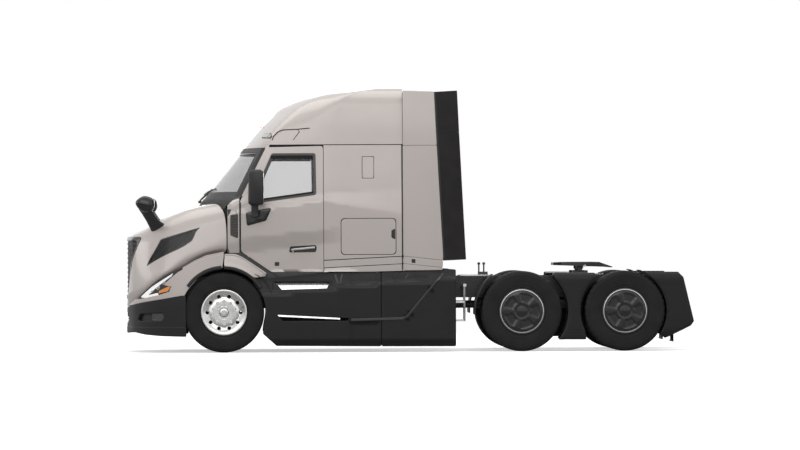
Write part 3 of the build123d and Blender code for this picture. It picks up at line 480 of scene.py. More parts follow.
class Shader:
    """A Principled material that is built up node by node, patterned in the truck's own space."""

    def __init__(self, name, slot, rough, metal=0.0, coat=0.0, coat_rough=0.05, specular=0.5):
        self.mat = bpy.data.materials.new(name)
        self.mat.use_nodes = True
        self.tree = self.mat.node_tree
        self.shader = self.tree.nodes["Principled BSDF"]
        self.set(roughness=rough, metallic=metal, coat_weight=coat, coat_roughness=coat_rough,
                 specular_ior_level=specular)
        self.place = self.tree.nodes.new("ShaderNodeTexCoord").outputs["Object"]
        self.height = None
        MATERIALS[name] = self.mat
        SLOTS[name] = slot

    def set(self, **values):
        for key, value in values.items():
            words = key.replace("_", " ").title().replace("Ior", "IOR")
            self.shader.inputs[words].default_value = value
        return self

    def node(self, kind, **inputs):
        return add_node(self.tree, kind, **inputs)

    def noise(self, scale, detail=3.0, stretch=None):
        at = self.place
        if stretch:
            at = self.node("Mapping", Vector=at, Scale=stretch).outputs["Vector"]
        return self.node("TexNoise", Vector=at, Scale=scale, Detail=detail,
                         Roughness=NOISE_ROUGHNESS).outputs["Fac"]

    def cells(self, scale):
        return self.node("TexVoronoi", Vector=self.place, Scale=scale).outputs["Distance"]

    def wave(self, scale, direction, distortion=0.0):
        made = self.node("TexWave", Vector=self.place, Scale=scale, Distortion=distortion)
        made.bands_direction = direction
        return made.outputs["Fac"]

    def colour(self, value, dark, light, at=NOISE_SPAN):
        """Colour runs from dark to light with the value."""
        made = self.node("ValToRGB", Fac=value)
        for element, place, tint in zip(made.color_ramp.elements, at, (dark, light)):
            element.position = place
            element.color = (*tint, 1)
        self.tree.links.new(made.outputs["Color"], self.shader.inputs["Base Color"])
        return self

    def rough(self, value, low, high):
        """Roughness runs from low to high with the value."""
        made = self.node("MapRange", Value=value, From_Min=NOISE_SPAN[0], From_Max=NOISE_SPAN[1],
                         To_Min=low, To_Max=high)
        self.tree.links.new(made.outputs["Result"], self.shader.inputs["Roughness"])
        return self

    def bump(self, value, depth, strength=1.0):
        """Relief of that depth in metres, on top of any relief already there."""
        made = self.node("Bump", Height=value, Strength=strength, Distance=depth)
        if self.height:
            self.tree.links.new(self.height, made.inputs["Normal"])
        self.height = made.outputs["Normal"]
        self.tree.links.new(self.height, self.shader.inputs["Normal"])
        return self


def tint(colour, factor):
    return tuple(min(1.0, c * factor) for c in colour)


def make_paint():
    base = (0.485, 0.437, 0.411)
    s = Shader("paint", "champagne_paint", 0.42, metal=0.3, coat=0.9, coat_rough=0.06)
    s.colour(s.cells(1400), tint(base, 0.93), tint(base, 1.05), at=(0.1, 0.7))
    s.rough(s.noise(3.0), 0.36, 0.46)
    s.bump(s.noise(900, 2), 0.00002, 0.35)
    s.bump(s.noise(5.5, 2), 0.0006, 0.12)


def make_plastic(name, slot, base, rough, grain=700, depth=0.00015, coat=0.0, spread=0.12):
    s = Shader(name, slot, rough, coat=coat, coat_rough=0.08)
    s.colour(s.noise(2.3), tint(base, 1 - spread), tint(base, 1 + spread))
    s.rough(s.noise(9.0), rough - 0.05, rough + 0.06)
    s.bump(s.cells(grain), depth, 0.4)
    return s


def make_metal(name, slot, base, rough, stretch=(1, 1, 1), scale=300, depth=0.00006, spread=0.08):
    s = Shader(name, slot, rough, metal=1.0)
    s.colour(s.noise(4.0), tint(base, 1 - spread), tint(base, 1 + spread))
    s.rough(s.noise(60, stretch=stretch), max(0.03, rough - 0.07), rough + 0.08)
    s.bump(s.noise(scale, 2, stretch=stretch), depth, 0.3)
    return s


def make_rubber(name, slot, base, rough=0.8):
    s = Shader(name, slot, rough, specular=0.2)
    s.colour(s.noise(7.0, 4), tint(base, 0.8), tint(base, 1.25))
    s.rough(s.noise(14), rough - 0.1, rough + 0.06)
    s.bump(s.noise(420, 3), 0.0003, 0.5)
    return s


def make_lens(name, slot, base, transmission=0.5, glow=0.0):
    s = Shader(name, slot, 0.08, coat=1.0, coat_rough=0.02)
    s.colour(s.wave(38, "Y"), tint(base, 0.86), base, at=(0.2, 0.8))
    s.set(transmission_weight=transmission, ior=1.5)
    if glow:
        s.set(emission_color=(*base, 1), emission_strength=glow)
    s.bump(s.wave(38, "Y"), 0.0004, 0.5)
    return s


def make_materials():
    make_paint()
    black = (0.0125, 0.0115, 0.012)
    make_plastic("trim", "cabin_plastic", (0.055, 0.054, 0.055), 0.6, grain=450, depth=0.0003)
    fairing = make_plastic("fairing", "black_plastic", black, 0.34, grain=900, depth=0.0001)
    fairing.set(specular_ior_level=0.3)
    # A lighter copy of the fairing's black for its ridges: painted highlight on their upper faces.
    make_plastic("fairing_ridge_highlight", "black_plastic", (0.05, 0.047, 0.046), 0.4, grain=900,
                 depth=0.0001)
    make_plastic("grained", "black_plastic", (0.017, 0.016, 0.017), 0.55, grain=520, depth=0.0003)
    bumper = make_plastic("bumper", "black_plastic", (0.014, 0.0135, 0.0155), 0.46, grain=620)
    bumper.set(specular_ior_level=0.3)
    make_plastic("gloss_black", "black_plastic", (0.006, 0.006, 0.0065), 0.2, coat=0.25,
                 grain=1500, depth=0.00001)
    # This grey also makes the thin light line at the bumper's crease, a painted highlight.
    make_plastic("frame_band", "black_plastic", (0.085, 0.078, 0.076), 0.5, grain=600)
    make_plastic("liner", "black_plastic", (0.016, 0.016, 0.016), 0.85, grain=90, depth=0.004,
                 spread=0.3)
    make_plastic("chassis", "chassis_black", (0.017, 0.017, 0.018), 0.42, grain=260, coat=0.3)
    make_plastic("dark_steel", "dark_steel", (0.05, 0.05, 0.051), 0.45, grain=300, coat=0.2)
    make_plastic("engine", "engine_grey", (0.13, 0.13, 0.135), 0.55, grain=160, depth=0.0006)
    make_metal("bare_steel", "bare_steel", (0.42, 0.42, 0.43), 0.32, stretch=(1, 8, 1))
    make_metal("polished", "bright_aluminium", (0.80, 0.795, 0.79), 0.16, scale=500)
    make_metal("tank_metal", "tank_aluminium", (0.5, 0.5, 0.51), 0.34, stretch=(12, 1, 1))
    make_metal("tread", "tread_plate", (0.80, 0.79, 0.78), 0.28, stretch=(1, 14, 1))
    make_metal("worn_plate", "dark_steel", (0.06, 0.058, 0.056), 0.38, stretch=(10, 1, 1),
               spread=0.3)
    tyre = make_rubber("tyre", "tyre_rubber", (0.021, 0.0195, 0.020), 0.72)
    tyre.bump(tyre.wave(30, "Y", distortion=0.3), 0.0002, 0.2)
    flap = make_rubber("flap", "flap_rubber", (0.0175, 0.0155, 0.016), 0.6)
    flap.bump(flap.noise(2.2, 2), 0.006, 0.3)
    # Black rubber for the seals; the same black laid under panel gaps, seams and round the roof's
    # recess is painted shade there.
    seal_and_gap_shade = make_rubber("seal_and_gap_shade", "flap_rubber", (0.010, 0.0095, 0.010), 0.6)
    seal_and_gap_shade.set(sheen_weight=0.1)
    glass = Shader("glass", "window_glass", 0.03)
    glass.colour(glass.noise(1.4, 2), (0.30, 0.30, 0.305), (0.36, 0.36, 0.365))
    glass.set(alpha=0.15)
    screen = Shader("screen_glass", "window_glass", 0.03)
    screen.colour(screen.noise(1.4, 2), (0.10, 0.10, 0.105), (0.14, 0.14, 0.145))
    screen.set(alpha=0.22)
    mirror = make_metal("mirror", "window_glass", (0.82, 0.83, 0.84), 0.04, scale=3, depth=0.0002)
    mirror.set(coat_weight=0.3)
    make_lens("clear_lens", "lamp_lens", (0.78, 0.78, 0.77), 0.6)
    make_lens("smoked_lens", "lamp_lens", (0.10, 0.10, 0.10), 0.3)
    make_lens("led", "lamp_lens", (0.95, 0.95, 0.94), 0.1, glow=0.35)
    make_lens("amber", "lamp_lens", (0.85, 0.26, 0.02), 0.15, glow=0.15)
    make_lens("red", "red_lens", (0.42, 0.010, 0.008), 0.2)
    cloth = Shader("cloth", "seat_fabric", 0.85, specular=0.25)
    cloth.colour(cloth.cells(260), (0.035, 0.035, 0.037), (0.085, 0.084, 0.086), at=(0.1, 0.6))
    cloth.set(sheen_weight=0.35, sheen_roughness=0.5)
    cloth.bump(cloth.wave(170, "X"), 0.0006, 0.5)
    cloth.bump(cloth.wave(170, "Z"), 0.0006, 0.5)


make_materials()


# ---------------------------------------------------------------- stage, light and camera
WORLD_TOP, WORLD_SIDE, WORLD_LOW = 0.66, 0.28, 0.06
# the floor's value to the camera, and to light, reflections and glass
FLOOR_COLOUR, FLOOR_GLOW = (0.93, 0.42), (0.50, 0.0)
FLOOR_REACH, FLOOR_Z = 70.0, -0.001
WHITE = (1, 1, 1, 1)
# name, place, aim, size and watts
LAMPS = (("sky", (-1.0, -2.5, 9.0), (0, -0.3, 1.0), (14, 7), 400),
         ("left", (-3.5, -12.0, 5.5), (0, -1, 1.8), (12, 5), 215),
         ("right", (2.0, 12.0, 5.0), (0, 1, 1.8), (12, 5), 190),
         ("front", (-13.0, -1.5, 4.5), (-2, 0, 1.5), (7, 4), 130),
         ("rear", (13.0, 1.5, 4.5), (2, 0, 1.5), (7, 4), 120))
CAMERA_PLACE, CAMERA_AIM, CAMERA_ROLL = (-2.062, -69.2, 1.41), (-0.127, -1.2, 1.639), 0.0043
LENS, SENSOR, CAMERA_REACH = 237.0, 36.0, 400.0


def ramp_by_height(tree):
    """Brightness of the surroundings from below, level and above."""
    at = add_node(tree, "TexCoord").outputs["Generated"]
    height = add_node(tree, "SeparateXYZ", at).outputs["Z"]
    parts = [add_node(tree, "MapRange", Value=height, From_Min=from_min, From_Max=from_max,
                      To_Min=to_min, To_Max=to_max).outputs["Result"]
             for from_min, from_max, to_min, to_max in (
                 (-0.35, 0.0, WORLD_LOW, WORLD_SIDE), (0.0, 0.8, 0.0, WORLD_TOP - WORLD_SIDE))]
    return add_node(tree, "Math", *parts).outputs[0]


def seen_directly(tree):
    """1 for a ray from the camera, a reflection or glass, and 0 for the light on the truck."""
    rays = add_node(tree, "LightPath").outputs
    value = rays["Is Camera Ray"]
    for kind in ("Is Glossy Ray", "Is Transmission Ray"):
        most = add_node(tree, "Math", value, rays[kind])
        most.operation = "MAXIMUM"
        value = most.outputs[0]
    return value


def make_world():
    world = bpy.data.worlds.new("studio")
    scene.world = world
    world.use_nodes = True
    tree = world.node_tree
    tree.nodes.clear()
    light = add_node(tree, "Background", Color=WHITE, Strength=ramp_by_height(tree))
    white = add_node(tree, "Background", Color=WHITE)
    mix = add_node(tree, "MixShader", seen_directly(tree), light.outputs[0], white.outputs[0])
    add_node(tree, "OutputWorld", mix.outputs[0])


def make_floor():
    """A pale floor that keeps the truck's shadow. Only the camera sees its white: light,
    reflections and glass meet the darker floor."""
    mat = bpy.data.materials.new("floor")
    mat.use_nodes = True
    tree = mat.node_tree
    surface = tree.nodes["Principled BSDF"]
    surface.inputs["Roughness"].default_value = 0.9
    surface.inputs["Specular IOR Level"].default_value = 0.1
    camera_ray = add_node(tree, "LightPath").outputs["Is Camera Ray"]
    glow = add_node(tree, "Emission")
    for (seen, unseen), socket in ((FLOOR_COLOUR, surface.inputs["Base Color"]),
                                   (FLOOR_GLOW, glow.inputs["Strength"])):
        pick = add_node(tree, "MapRange", Value=camera_ray, To_Min=unseen, To_Max=seen)
        tree.links.new(pick.outputs["Result"], socket)
    add = add_node(tree, "AddShader", surface.outputs[0], glow.outputs[0])
    tree.links.new(add.outputs[0], tree.nodes["Material Output"].inputs["Surface"])
    mesh = bpy.data.meshes.new("floor")
    r = FLOOR_REACH
    mesh.from_pydata([(x, y, FLOOR_Z) for x, y in ((-r, -r), (r, -r), (r, r), (-r, r))], [],
                     [(0, 1, 2, 3)])
    mesh.materials.append(mat)
    floor = bpy.data.objects.new("floor", mesh)
    scene.collection.objects.link(floor)


def area_light(name, place, target, size, energy):
    lamp = bpy.data.lights.new(name, "AREA")
    lamp.shape = "RECTANGLE"
    lamp.size, lamp.size_y = size
    lamp.energy = energy
    obj = bpy.data.objects.new(name, lamp)
    obj.visible_transmission = False
    obj.location = place
    obj.rotation_euler = (Vector(target) - Vector(place)).to_track_quat("-Z", "Y").to_euler()
    scene.collection.objects.link(obj)


def make_camera():
    """A long lens square to the truck's left side."""
    place = Vector(CAMERA_PLACE)
    forward = (Vector(CAMERA_AIM) - place).normalized()
    right = forward.cross(Vector((0, 0, 1))).normalized()
    up = right.cross(forward)
    c, s = math.cos(CAMERA_ROLL), math.sin(CAMERA_ROLL)
    tilted_right, tilted_up = right * c - up * s, up * c + right * s
    data = bpy.data.cameras.new("camera")
    data.lens = LENS
    data.sensor_width = SENSOR
    data.clip_end = CAMERA_REACH
    camera = bpy.data.objects.new("camera", data)
    turn = Matrix((tilted_right, tilted_up, -forward)).transposed().to_4x4()
    camera.matrix_world = Matrix.Translation(place) @ turn
    scene.collection.objects.link(camera)
    scene.camera = camera


scene.view_settings.view_transform = "Standard"
make_world()
make_floor()
for lamp in LAMPS:
    area_light(*lamp)
make_camera()


# ---------------------------------------------------------------- smooth surfaces
class Patch:
    """A smooth surface through an even grid of points (millimetres), looked up in metres."""

    def __init__(self, grid, u_range, v_range):
        self.grid = np.asarray(grid, float) * MM
        self.u0, self.u1 = u_range
        self.v0, self.v1 = v_range

    @staticmethod
    def weights(t):
        return np.stack((-0.5 * t + t ** 2 - 0.5 * t ** 3, 1 - 2.5 * t ** 2 + 1.5 * t ** 3,
                         0.5 * t + 2 * t ** 2 - 1.5 * t ** 3, -0.5 * t ** 2 + 0.5 * t ** 3))

    def __call__(self, uv):
        rows, columns = self.grid.shape[:2]
        a = np.clip((uv[:, 0] - self.u0) / (self.u1 - self.u0), 0, 1) * (rows - 1)
        b = np.clip((uv[:, 1] - self.v0) / (self.v1 - self.v0), 0, 1) * (columns - 1)
        i = np.minimum(a.astype(int), rows - 2)
        j = np.minimum(b.astype(int), columns - 2)
        wa, wb = self.weights(a - i), self.weights(b - j)
        out = np.zeros((len(uv), 3))
        for m in range(4):
            im = np.clip(i + m - 1, 0, rows - 1)
            for n in range(4):
                jn = np.clip(j + n - 1, 0, columns - 1)
                out += (wa[m] * wb[n])[:, None] * self.grid[im, jn]
        return out

    def find(self, points):
        """The (u, v) of side-view points (x, z) in millimetres, on the truck's left side."""
        us = np.linspace(self.u0, self.u1, 260)
        vs = np.linspace(self.v0, self.v1, 260)
        uv = np.array([(u, v) for u in us for v in vs])
        at = self(uv)
        ok = at[:, 1] <= 0.02
        uv, at = uv[ok], at[ok]
        found = []
        for x, z in points:
            target = np.array((x * MM, z * MM))
            k = np.argmin(np.sum((at[:, [0, 2]] - target) ** 2, axis=1))
            p = uv[k].copy()
            for _ in range(4):
                e = 1e-3
                here = self(p[None])[0][[0, 2]]
                jac = np.stack(((self((p + (e, 0))[None])[0][[0, 2]] - here) / e,
                                (self((p + (0, e))[None])[0][[0, 2]] - here) / e), axis=1)
                if abs(np.linalg.det(jac)) < 0.05:
                    break
                p = p + np.clip(np.linalg.solve(jac, target - here), -0.02, 0.02)
                p = np.clip(p, (self.u0, self.v0), (self.u1, self.v1))
            found.append(p)
        return np.array(found)


def shell(grid, thickness):
    """A closed thin panel from a grid of points in millimetres, thickened inwards."""
    g = np.asarray(grid, float) * MM
    rows, columns = g.shape[:2]
    du = np.gradient(g, axis=0)
    dv = np.gradient(g, axis=1)
    normal = np.cross(du, dv)
    normal /= np.maximum(np.linalg.norm(normal, axis=2, keepdims=True), 1e-12)
    under = g - normal * thickness * MM
    at = lambda r, c, layer=0: layer * rows * columns + r * columns + c
    faces = []
    for r in range(rows - 1):
        for c in range(columns - 1):
            faces.append((at(r, c), at(r + 1, c), at(r + 1, c + 1), at(r, c + 1)))
            faces.append((at(r, c + 1, 1), at(r + 1, c + 1, 1), at(r + 1, c, 1), at(r, c, 1)))
    for r in range(rows - 1):
        faces.append((at(r + 1, 0), at(r, 0), at(r, 0, 1), at(r + 1, 0, 1)))
        faces.append((at(r, columns - 1), at(r + 1, columns - 1), at(r + 1, columns - 1, 1),
                      at(r, columns - 1, 1)))
    for c in range(columns - 1):
        faces.append((at(0, c), at(0, c + 1), at(0, c + 1, 1), at(0, c, 1)))
        faces.append((at(rows - 1, c + 1), at(rows - 1, c), at(rows - 1, c, 1),
                      at(rows - 1, c + 1, 1)))
    return np.vstack((g.reshape(-1, 3), under.reshape(-1, 3))), faces, None


def monotone(xs, ys, at):
    """Smooth interpolation that keeps the order of its points."""
    xs, ys, at = (np.asarray(a, float) for a in (xs, ys, at))
    h = np.diff(xs)
    d = np.diff(ys) / h
    m = np.zeros(len(xs))
    m[0], m[-1] = d[0], d[-1]
    for i in range(1, len(xs) - 1):
        if d[i - 1] * d[i] > 0:
            w1, w2 = 2 * h[i] + h[i - 1], h[i] + 2 * h[i - 1]
            m[i] = (w1 + w2) / (w1 / d[i - 1] + w2 / d[i])
    k = np.clip(np.searchsorted(xs, at) - 1, 0, len(xs) - 2)
    t = np.clip((at - xs[k]) / h[k], 0, 1)
    return ((1 + 2 * t) * (1 - t) ** 2 * ys[k] + t * (1 - t) ** 2 * h[k] * m[k]
            + t * t * (3 - 2 * t) * ys[k + 1] + t * t * (t - 1) * h[k] * m[k + 1])


# ---------------------------------------------------------------- the cab's form
# height, then x of centre, corner and door post from the front axle, then their half widths
CAB_LEVELS = np.array((
    (1040, -326, 53, 1288, 1082, 1150), (1850, -326, 53, 1288, 1082, 1150),
    (1930, -309, 68, 1288, 1080, 1150), (1990, -260, 218, 1288, 1078, 1150),
    (2690, 293, 523, 1288, 1050, 1125), (2900, 463, 703, 1288, 1030, 1120),
    (3056, 611, 863, 1320, 1000, 1110), (3213, 777, 1063, 1400, 950, 1090),
    (3336, 1103, 1363, 1600, 880, 1050), (3405, 1629, 1843, 1950, 760, 960),
    (3435, 2103, 2153, 2200, 500, 600)))
STRAIGHT_TOP = 2690      # below this height the cab's lines are straight
SKIN_LIFT = 4.0
CORNER_ROUND = 70.0
# lines along the cab's side: the step under the windows and the crease above the sill
BELT = np.array(((-2403, 1780), (-2333, 1792), (-2191, 1850), (-1115, 2033), (-354, 2109),
                 (-80, 2125)))
CREASE = np.array(((-2403, 1365), (-2178, 1462), (-1121, 1576), (-80, 1680)))
BELT_STEP, CREASE_TUCK = 20.0, 22.0


def cab_outline(z):
    """Half the cab's plan at a height: points from the middle of the front round to the back."""
    heights, *columns = CAB_LEVELS.T
    centre, corner, post, y_corner, y_post = (
        float(np.interp(z, heights, column) if z < STRAIGHT_TOP else monotone(heights, column, z))
        for column in columns)
    sag = max(corner - centre, 1)
    bow = (y_corner ** 2 + sag ** 2) / (2 * sag)
    reach = min(CORNER_ROUND, 0.35 * (post - corner), 0.2 * y_corner)
    cut_y = y_corner - reach
    ys = np.linspace(0, cut_y, 40)
    arc = np.stack((centre + bow - np.sqrt(bow ** 2 - ys ** 2), ys), 1)
    run = max(post - corner, 1)
    end = np.array((corner + reach, y_corner + reach * (y_post - y_corner) / run))
    t = np.linspace(0, 1, 14)[1:, None]
    corner_arc = bend(arc[-1], np.array((corner, y_corner)), end, t)
    ease = min(250.0, 0.4 * run)
    before = np.array((post - ease, y_post - ease * (y_post - y_corner) / run))
    after = np.array((min(post + ease, 0.5 * (post + CAB_BACK - FRONT)), y_post))
    knee = 1.5 * np.array((post, y_post)) - 0.25 * (before + after)
    t = np.linspace(0, 1, 16)[:, None]
    post_arc = bend(before, knee, after, t)
    back = np.array(((CAB_BACK - FRONT, y_post),))
    line = np.vstack((arc, corner_arc, post_arc, back))
    return line[:, 0] + FRONT, line[:, 1], distance_along(line)


def cab_half_width(z):
    return cab_outline(z)[1][-1]


def cab_relief(x, z):
    """How far the pressed lines stand out of the cab's side."""
    belt = np.interp(x, BELT[:, 0], BELT[:, 1])
    width = np.interp(x, (-2300, -1100, -80), (34, 80, 420))
    out = BELT_STEP * smooth_step((belt - z) / width)
    crease = np.interp(x, CREASE[:, 0], CREASE[:, 1])
    fade = 1 - smooth_step((x + 1300) / 500)
    return out - fade * np.minimum(CREASE_TUCK, 0.13 * np.maximum(0, crease - z))


def make_cab_patches():
    """The cab's side over (x, z), and its front and sides over (way round, z)."""
    zs = np.arange(1040, 2960.1, 12)
    xs = np.linspace(FRONT - 340, CAB_BACK, 220)
    ss = np.linspace(0, 3.5, 240)
    side, wrap = [], []
    for z in zs:
        px, py, length = cab_outline(z)
        y = np.interp(xs, px, py) + SKIN_LIFT
        side.append(np.stack((xs, -(y + cab_relief(xs, z)), np.full_like(xs, z)), 1))
        total = length[-1]
        s = ss / ss[-1] * 3500
        x_at = np.interp(np.minimum(s, total), length, px)
        y_at = np.interp(np.minimum(s, total), length, py)
        wrap.append(np.stack((x_at, -y_at, np.full_like(x_at, z)), 1))
    side = np.swapaxes(np.array(side), 0, 1)
    wrap = np.swapaxes(np.array(wrap), 0, 1)
    mirrored = wrap[:0:-1] * (1, -1, 1)
    v_range = (zs[0] * MM, zs[-1] * MM)
    return (Patch(side, (xs[0] * MM, xs[-1] * MM), v_range),
            Patch(np.concatenate((mirrored, wrap)), (-3.5, 3.5), v_range))


cab_side, cab_wrap = make_cab_patches()


# ---------------------------------------------------------------- cab panels
DOOR = np.array(((-1840, 2652), (-2181, 1975), (-2181, 1305), (-1694, 973), (-1115, 1026),
                 (-1115, 2666)))
DOOR_WINDOW = np.array(((-1763, 2545), (-1240, 2545), (-1233, 2056), (-2028, 1948)))
SLEEPER_FRONT, SLEEPER_BACK = -1115, -107
VENT = np.array(((-610, 2525), (-462, 2525), (-462, 2247), (-610, 2247)))
LUGGAGE = np.array(((-888, 1726), (-178, 1726), (-178, 1259), (-888, 1259)))
SEAM = 8.0
ROOF_SEAM = 2672


def cab_panel(points, holes=(), radius=12, step=0.05, lift=0.0, depth=0.016, roll=0.004):
    outline = rounded(metres(points), np.asarray(radius) * MM if not np.isscalar(radius)
                      else radius * MM)
    cut = [rounded(metres(h), r * MM) for h, r in holes]
    return skin(outline, cab_side, step, cut, roll=roll, depth=depth, lift=lift)


def side_line(points, width, rise):
    """A low rib or seal along a line on the cab's side."""
    p = np.asarray(points, float)
    ribbon = []
    for sign in (1, -1):
        offsets = []
        for i in range(len(p)):
            a, b = p[max(i - 1, 0)], p[min(i + 1, len(p) - 1)]
            d = (b - a) / np.linalg.norm(b - a)
            offsets.append(p[i] + np.array((-d[1], d[0])) * sign * width / 2)
        ribbon.append(offsets if sign == 1 else offsets[::-1])
    return skin(metres(ribbon[0] + ribbon[1]), cab_side, 0.04, roll=0.0015, depth=0.004, lift=rise)


def make_doors():
    window_opening = grow(DOOR_WINDOW, 30)
    panel = cab_panel(inset(DOOR, SEAM / 2), holes=((window_opening, 40),),
                      radius=(60, 40, 60, 50, 14, 40))
    frame_band = cab_panel(grow(DOOR_WINDOW, 27), holes=((inset(DOOR_WINDOW, 2), 34),), radius=42,
                           lift=-0.003, depth=0.02)
    pane = cab_panel(grow(DOOR_WINDOW, 6), radius=34, lift=-0.012, depth=0.005, roll=0.001,
                     step=0.09)
    visor = side_line([(-1790, 2524), (-1250, 2524)], 40, rise=0.0015)
    sill_seal = side_line([(-2010, 1964), (-1245, 2068)], 18, rise=0.003)
    handle_recess = cab_panel([(-1560, 1292), (-1545, 1366), (-1216, 1384), (-1204, 1352),
                               (-1214, 1296)], radius=20, lift=0.004, depth=0.008, roll=0.002)
    grip_path = spline([(-1528, 1322), (-1480, 1331), (-1390, 1338), (-1290, 1348), (-1228, 1354)])
    grip = tube([(x, -1192 - 14 * math.sin(math.pi * k / (len(grip_path) - 1)), z)
                 for k, (x, z) in enumerate(grip_path)], (9, 14), 14)
    lock = lathe([(0, 0), (11, 0), (11, 3), (8, 4.5), (0, 4.5)], (-1556 + 46, -1170, 1300),
                 LEFT, 24)
    keypad = cab_panel([(-1745, 1165), (-1690, 1168), (-1690, 1121), (-1745, 1118)], radius=8,
                       lift=0.004, depth=0.006, roll=0.0015)
    for side, turn in SIDES:
        body = f"door_{side}"
        piece(f"door_skin_{side}", turn(panel), "paint", body)
        piece(f"door_window_frame_{side}", turn(frame_band), "frame_band", body)
        piece(f"door_pane_{side}", turn(pane), "glass", body,
              replaces=[f"door_glass_{side}"])
        piece(f"door_window_seals_{side}", turn(join(visor, sill_seal)), "seal_and_gap_shade", body)
        piece(f"door_handle_{side}", turn(join(handle_recess, keypad)), "gloss_black", body)
        piece(f"door_grip_{side}", turn(join(grip, lock)), "paint", body)


def make_sleeper():
    wall = [(SLEEPER_FRONT + SEAM, ROOF_SEAM), (SLEEPER_BACK, ROOF_SEAM), (SLEEPER_BACK, 1242),
            (SLEEPER_FRONT + SEAM, 1194)]
    luggage_gap = grow(LUGGAGE, 7)
    panel = cab_panel(wall, holes=((grow(VENT, 8), 22), (luggage_gap, 60)), radius=6)
    luggage = cab_panel(inset(LUGGAGE, 7), radius=54)
    vent_frame = cab_panel(grow(VENT, 14), holes=((inset(VENT, 22), 12),), radius=26, lift=-0.006,
                           depth=0.008, roll=0.001)
    vent_pane = cab_panel(inset(VENT, 4), radius=16, lift=0.001, depth=0.008, roll=0.003)
    upper_sill = cab_panel([(-1107, 1178), (SLEEPER_BACK, 1226), (SLEEPER_BACK, 1144),
                            (-1107, 1096)], radius=4)
    lower_sill = cab_panel([(-1107, 1082), (SLEEPER_BACK, 1130), (SLEEPER_BACK, 1050),
                            (-1107, 1031)], radius=4)
    latch = cab_panel([(-236, 1566), (-190, 1594), (-190, 1455), (-236, 1480)], radius=10,
                      lift=0.004, depth=0.008, roll=0.002)
    piece("sleeper_skins", both(join(panel, luggage, upper_sill, lower_sill)), "paint")
    piece("sleeper_vent_frames", both(vent_frame), "seal_and_gap_shade")
    piece("sleeper_vent_panes", both(vent_pane), "paint")
    piece("luggage_latches", both(latch), "gloss_black")
    # Black strips just under the seams and round the luggage door's gap are painted shade in the gaps;
    # the tube along the sleeper's rear edge is a rubber seal that also darkens that gap as painted
    # shade.
    seams = (((SLEEPER_FRONT + 2, 1040), (SLEEPER_FRONT + 2, 2684)),
             ((-1107, 1186), (SLEEPER_BACK + 12, 1234)), ((-1107, 1089), (SLEEPER_BACK + 12, 1137)),
             ((-1870, 2682), (SLEEPER_BACK + 12, 2682)))
    strips = [side_line(line, 30, rise=-0.0015) for line in seams]
    strips.append(tube([(SLEEPER_BACK + 13, 18 - cab_half_width(z), z)
                        for z in np.linspace(1060, 3350, 60)], 15, 8))
    strips.append(cab_panel(grow(LUGGAGE, 14), holes=((inset(LUGGAGE, 13), 48),), radius=66,
                            lift=-0.0015, depth=0.003, roll=0.001))
    piece("panel_gap_shade_strips", both(join(*strips)), "seal_and_gap_shade")


def make_cowl():
    """The fixed panel between the hood's rear edge and the door, and the pillar above it."""
    louvre_area = [(-2322, 1786), (-2215, 1791), (-2213, 1460), (-2322, 1515)]
    panel = cab_panel([(-2352, 1900), (-2300, 1966), (-2225, 1988), (-2206, 1990), (-2206, 1290),
                       (-2352, 1290)], holes=((louvre_area, 24),), radius=8)
    # A black sheet behind the cowl and the hood's rear edge: painted shade seen through their gaps.
    behind = wrap_panel([(0.90, 1.28), (1.60, 1.28), (1.60, 1.985), (0.90, 1.89)], lift=-0.012,
                        depth=0.006, roll=0.002)
    piece("cowl_gap_shade", both(behind), "seal_and_gap_shade")
    ledge = cab_panel(grow(louvre_area, -1), radius=22, lift=-0.014, depth=0.01)
    bars = [side_line([(-2314, z - 14), (-2222, z)], 15, rise=0.001)
            for z in range(1530, 1790, 36)]
    piece("cowl_sides", both(panel), "paint")
    piece("cowl_vents", both(join(ledge, *bars)), "frame_band")


def wrap_panel(points, holes=(), radius=0.02, lift=0.004, depth=0.016, step=0.07, roll=0.004):
    """A panel around the cab's front; points are (distance from the middle to the left, height)."""
    return skin(rounded(points, radius), cab_wrap, step, holes, roll=roll, depth=depth, lift=lift)


def mirrored_outline(half):
    """A closed outline from its left half, given from the bottom middle round to the top."""
    return [(s, z) for s, z in half] + [(-s, z) for s, z in reversed(half)]


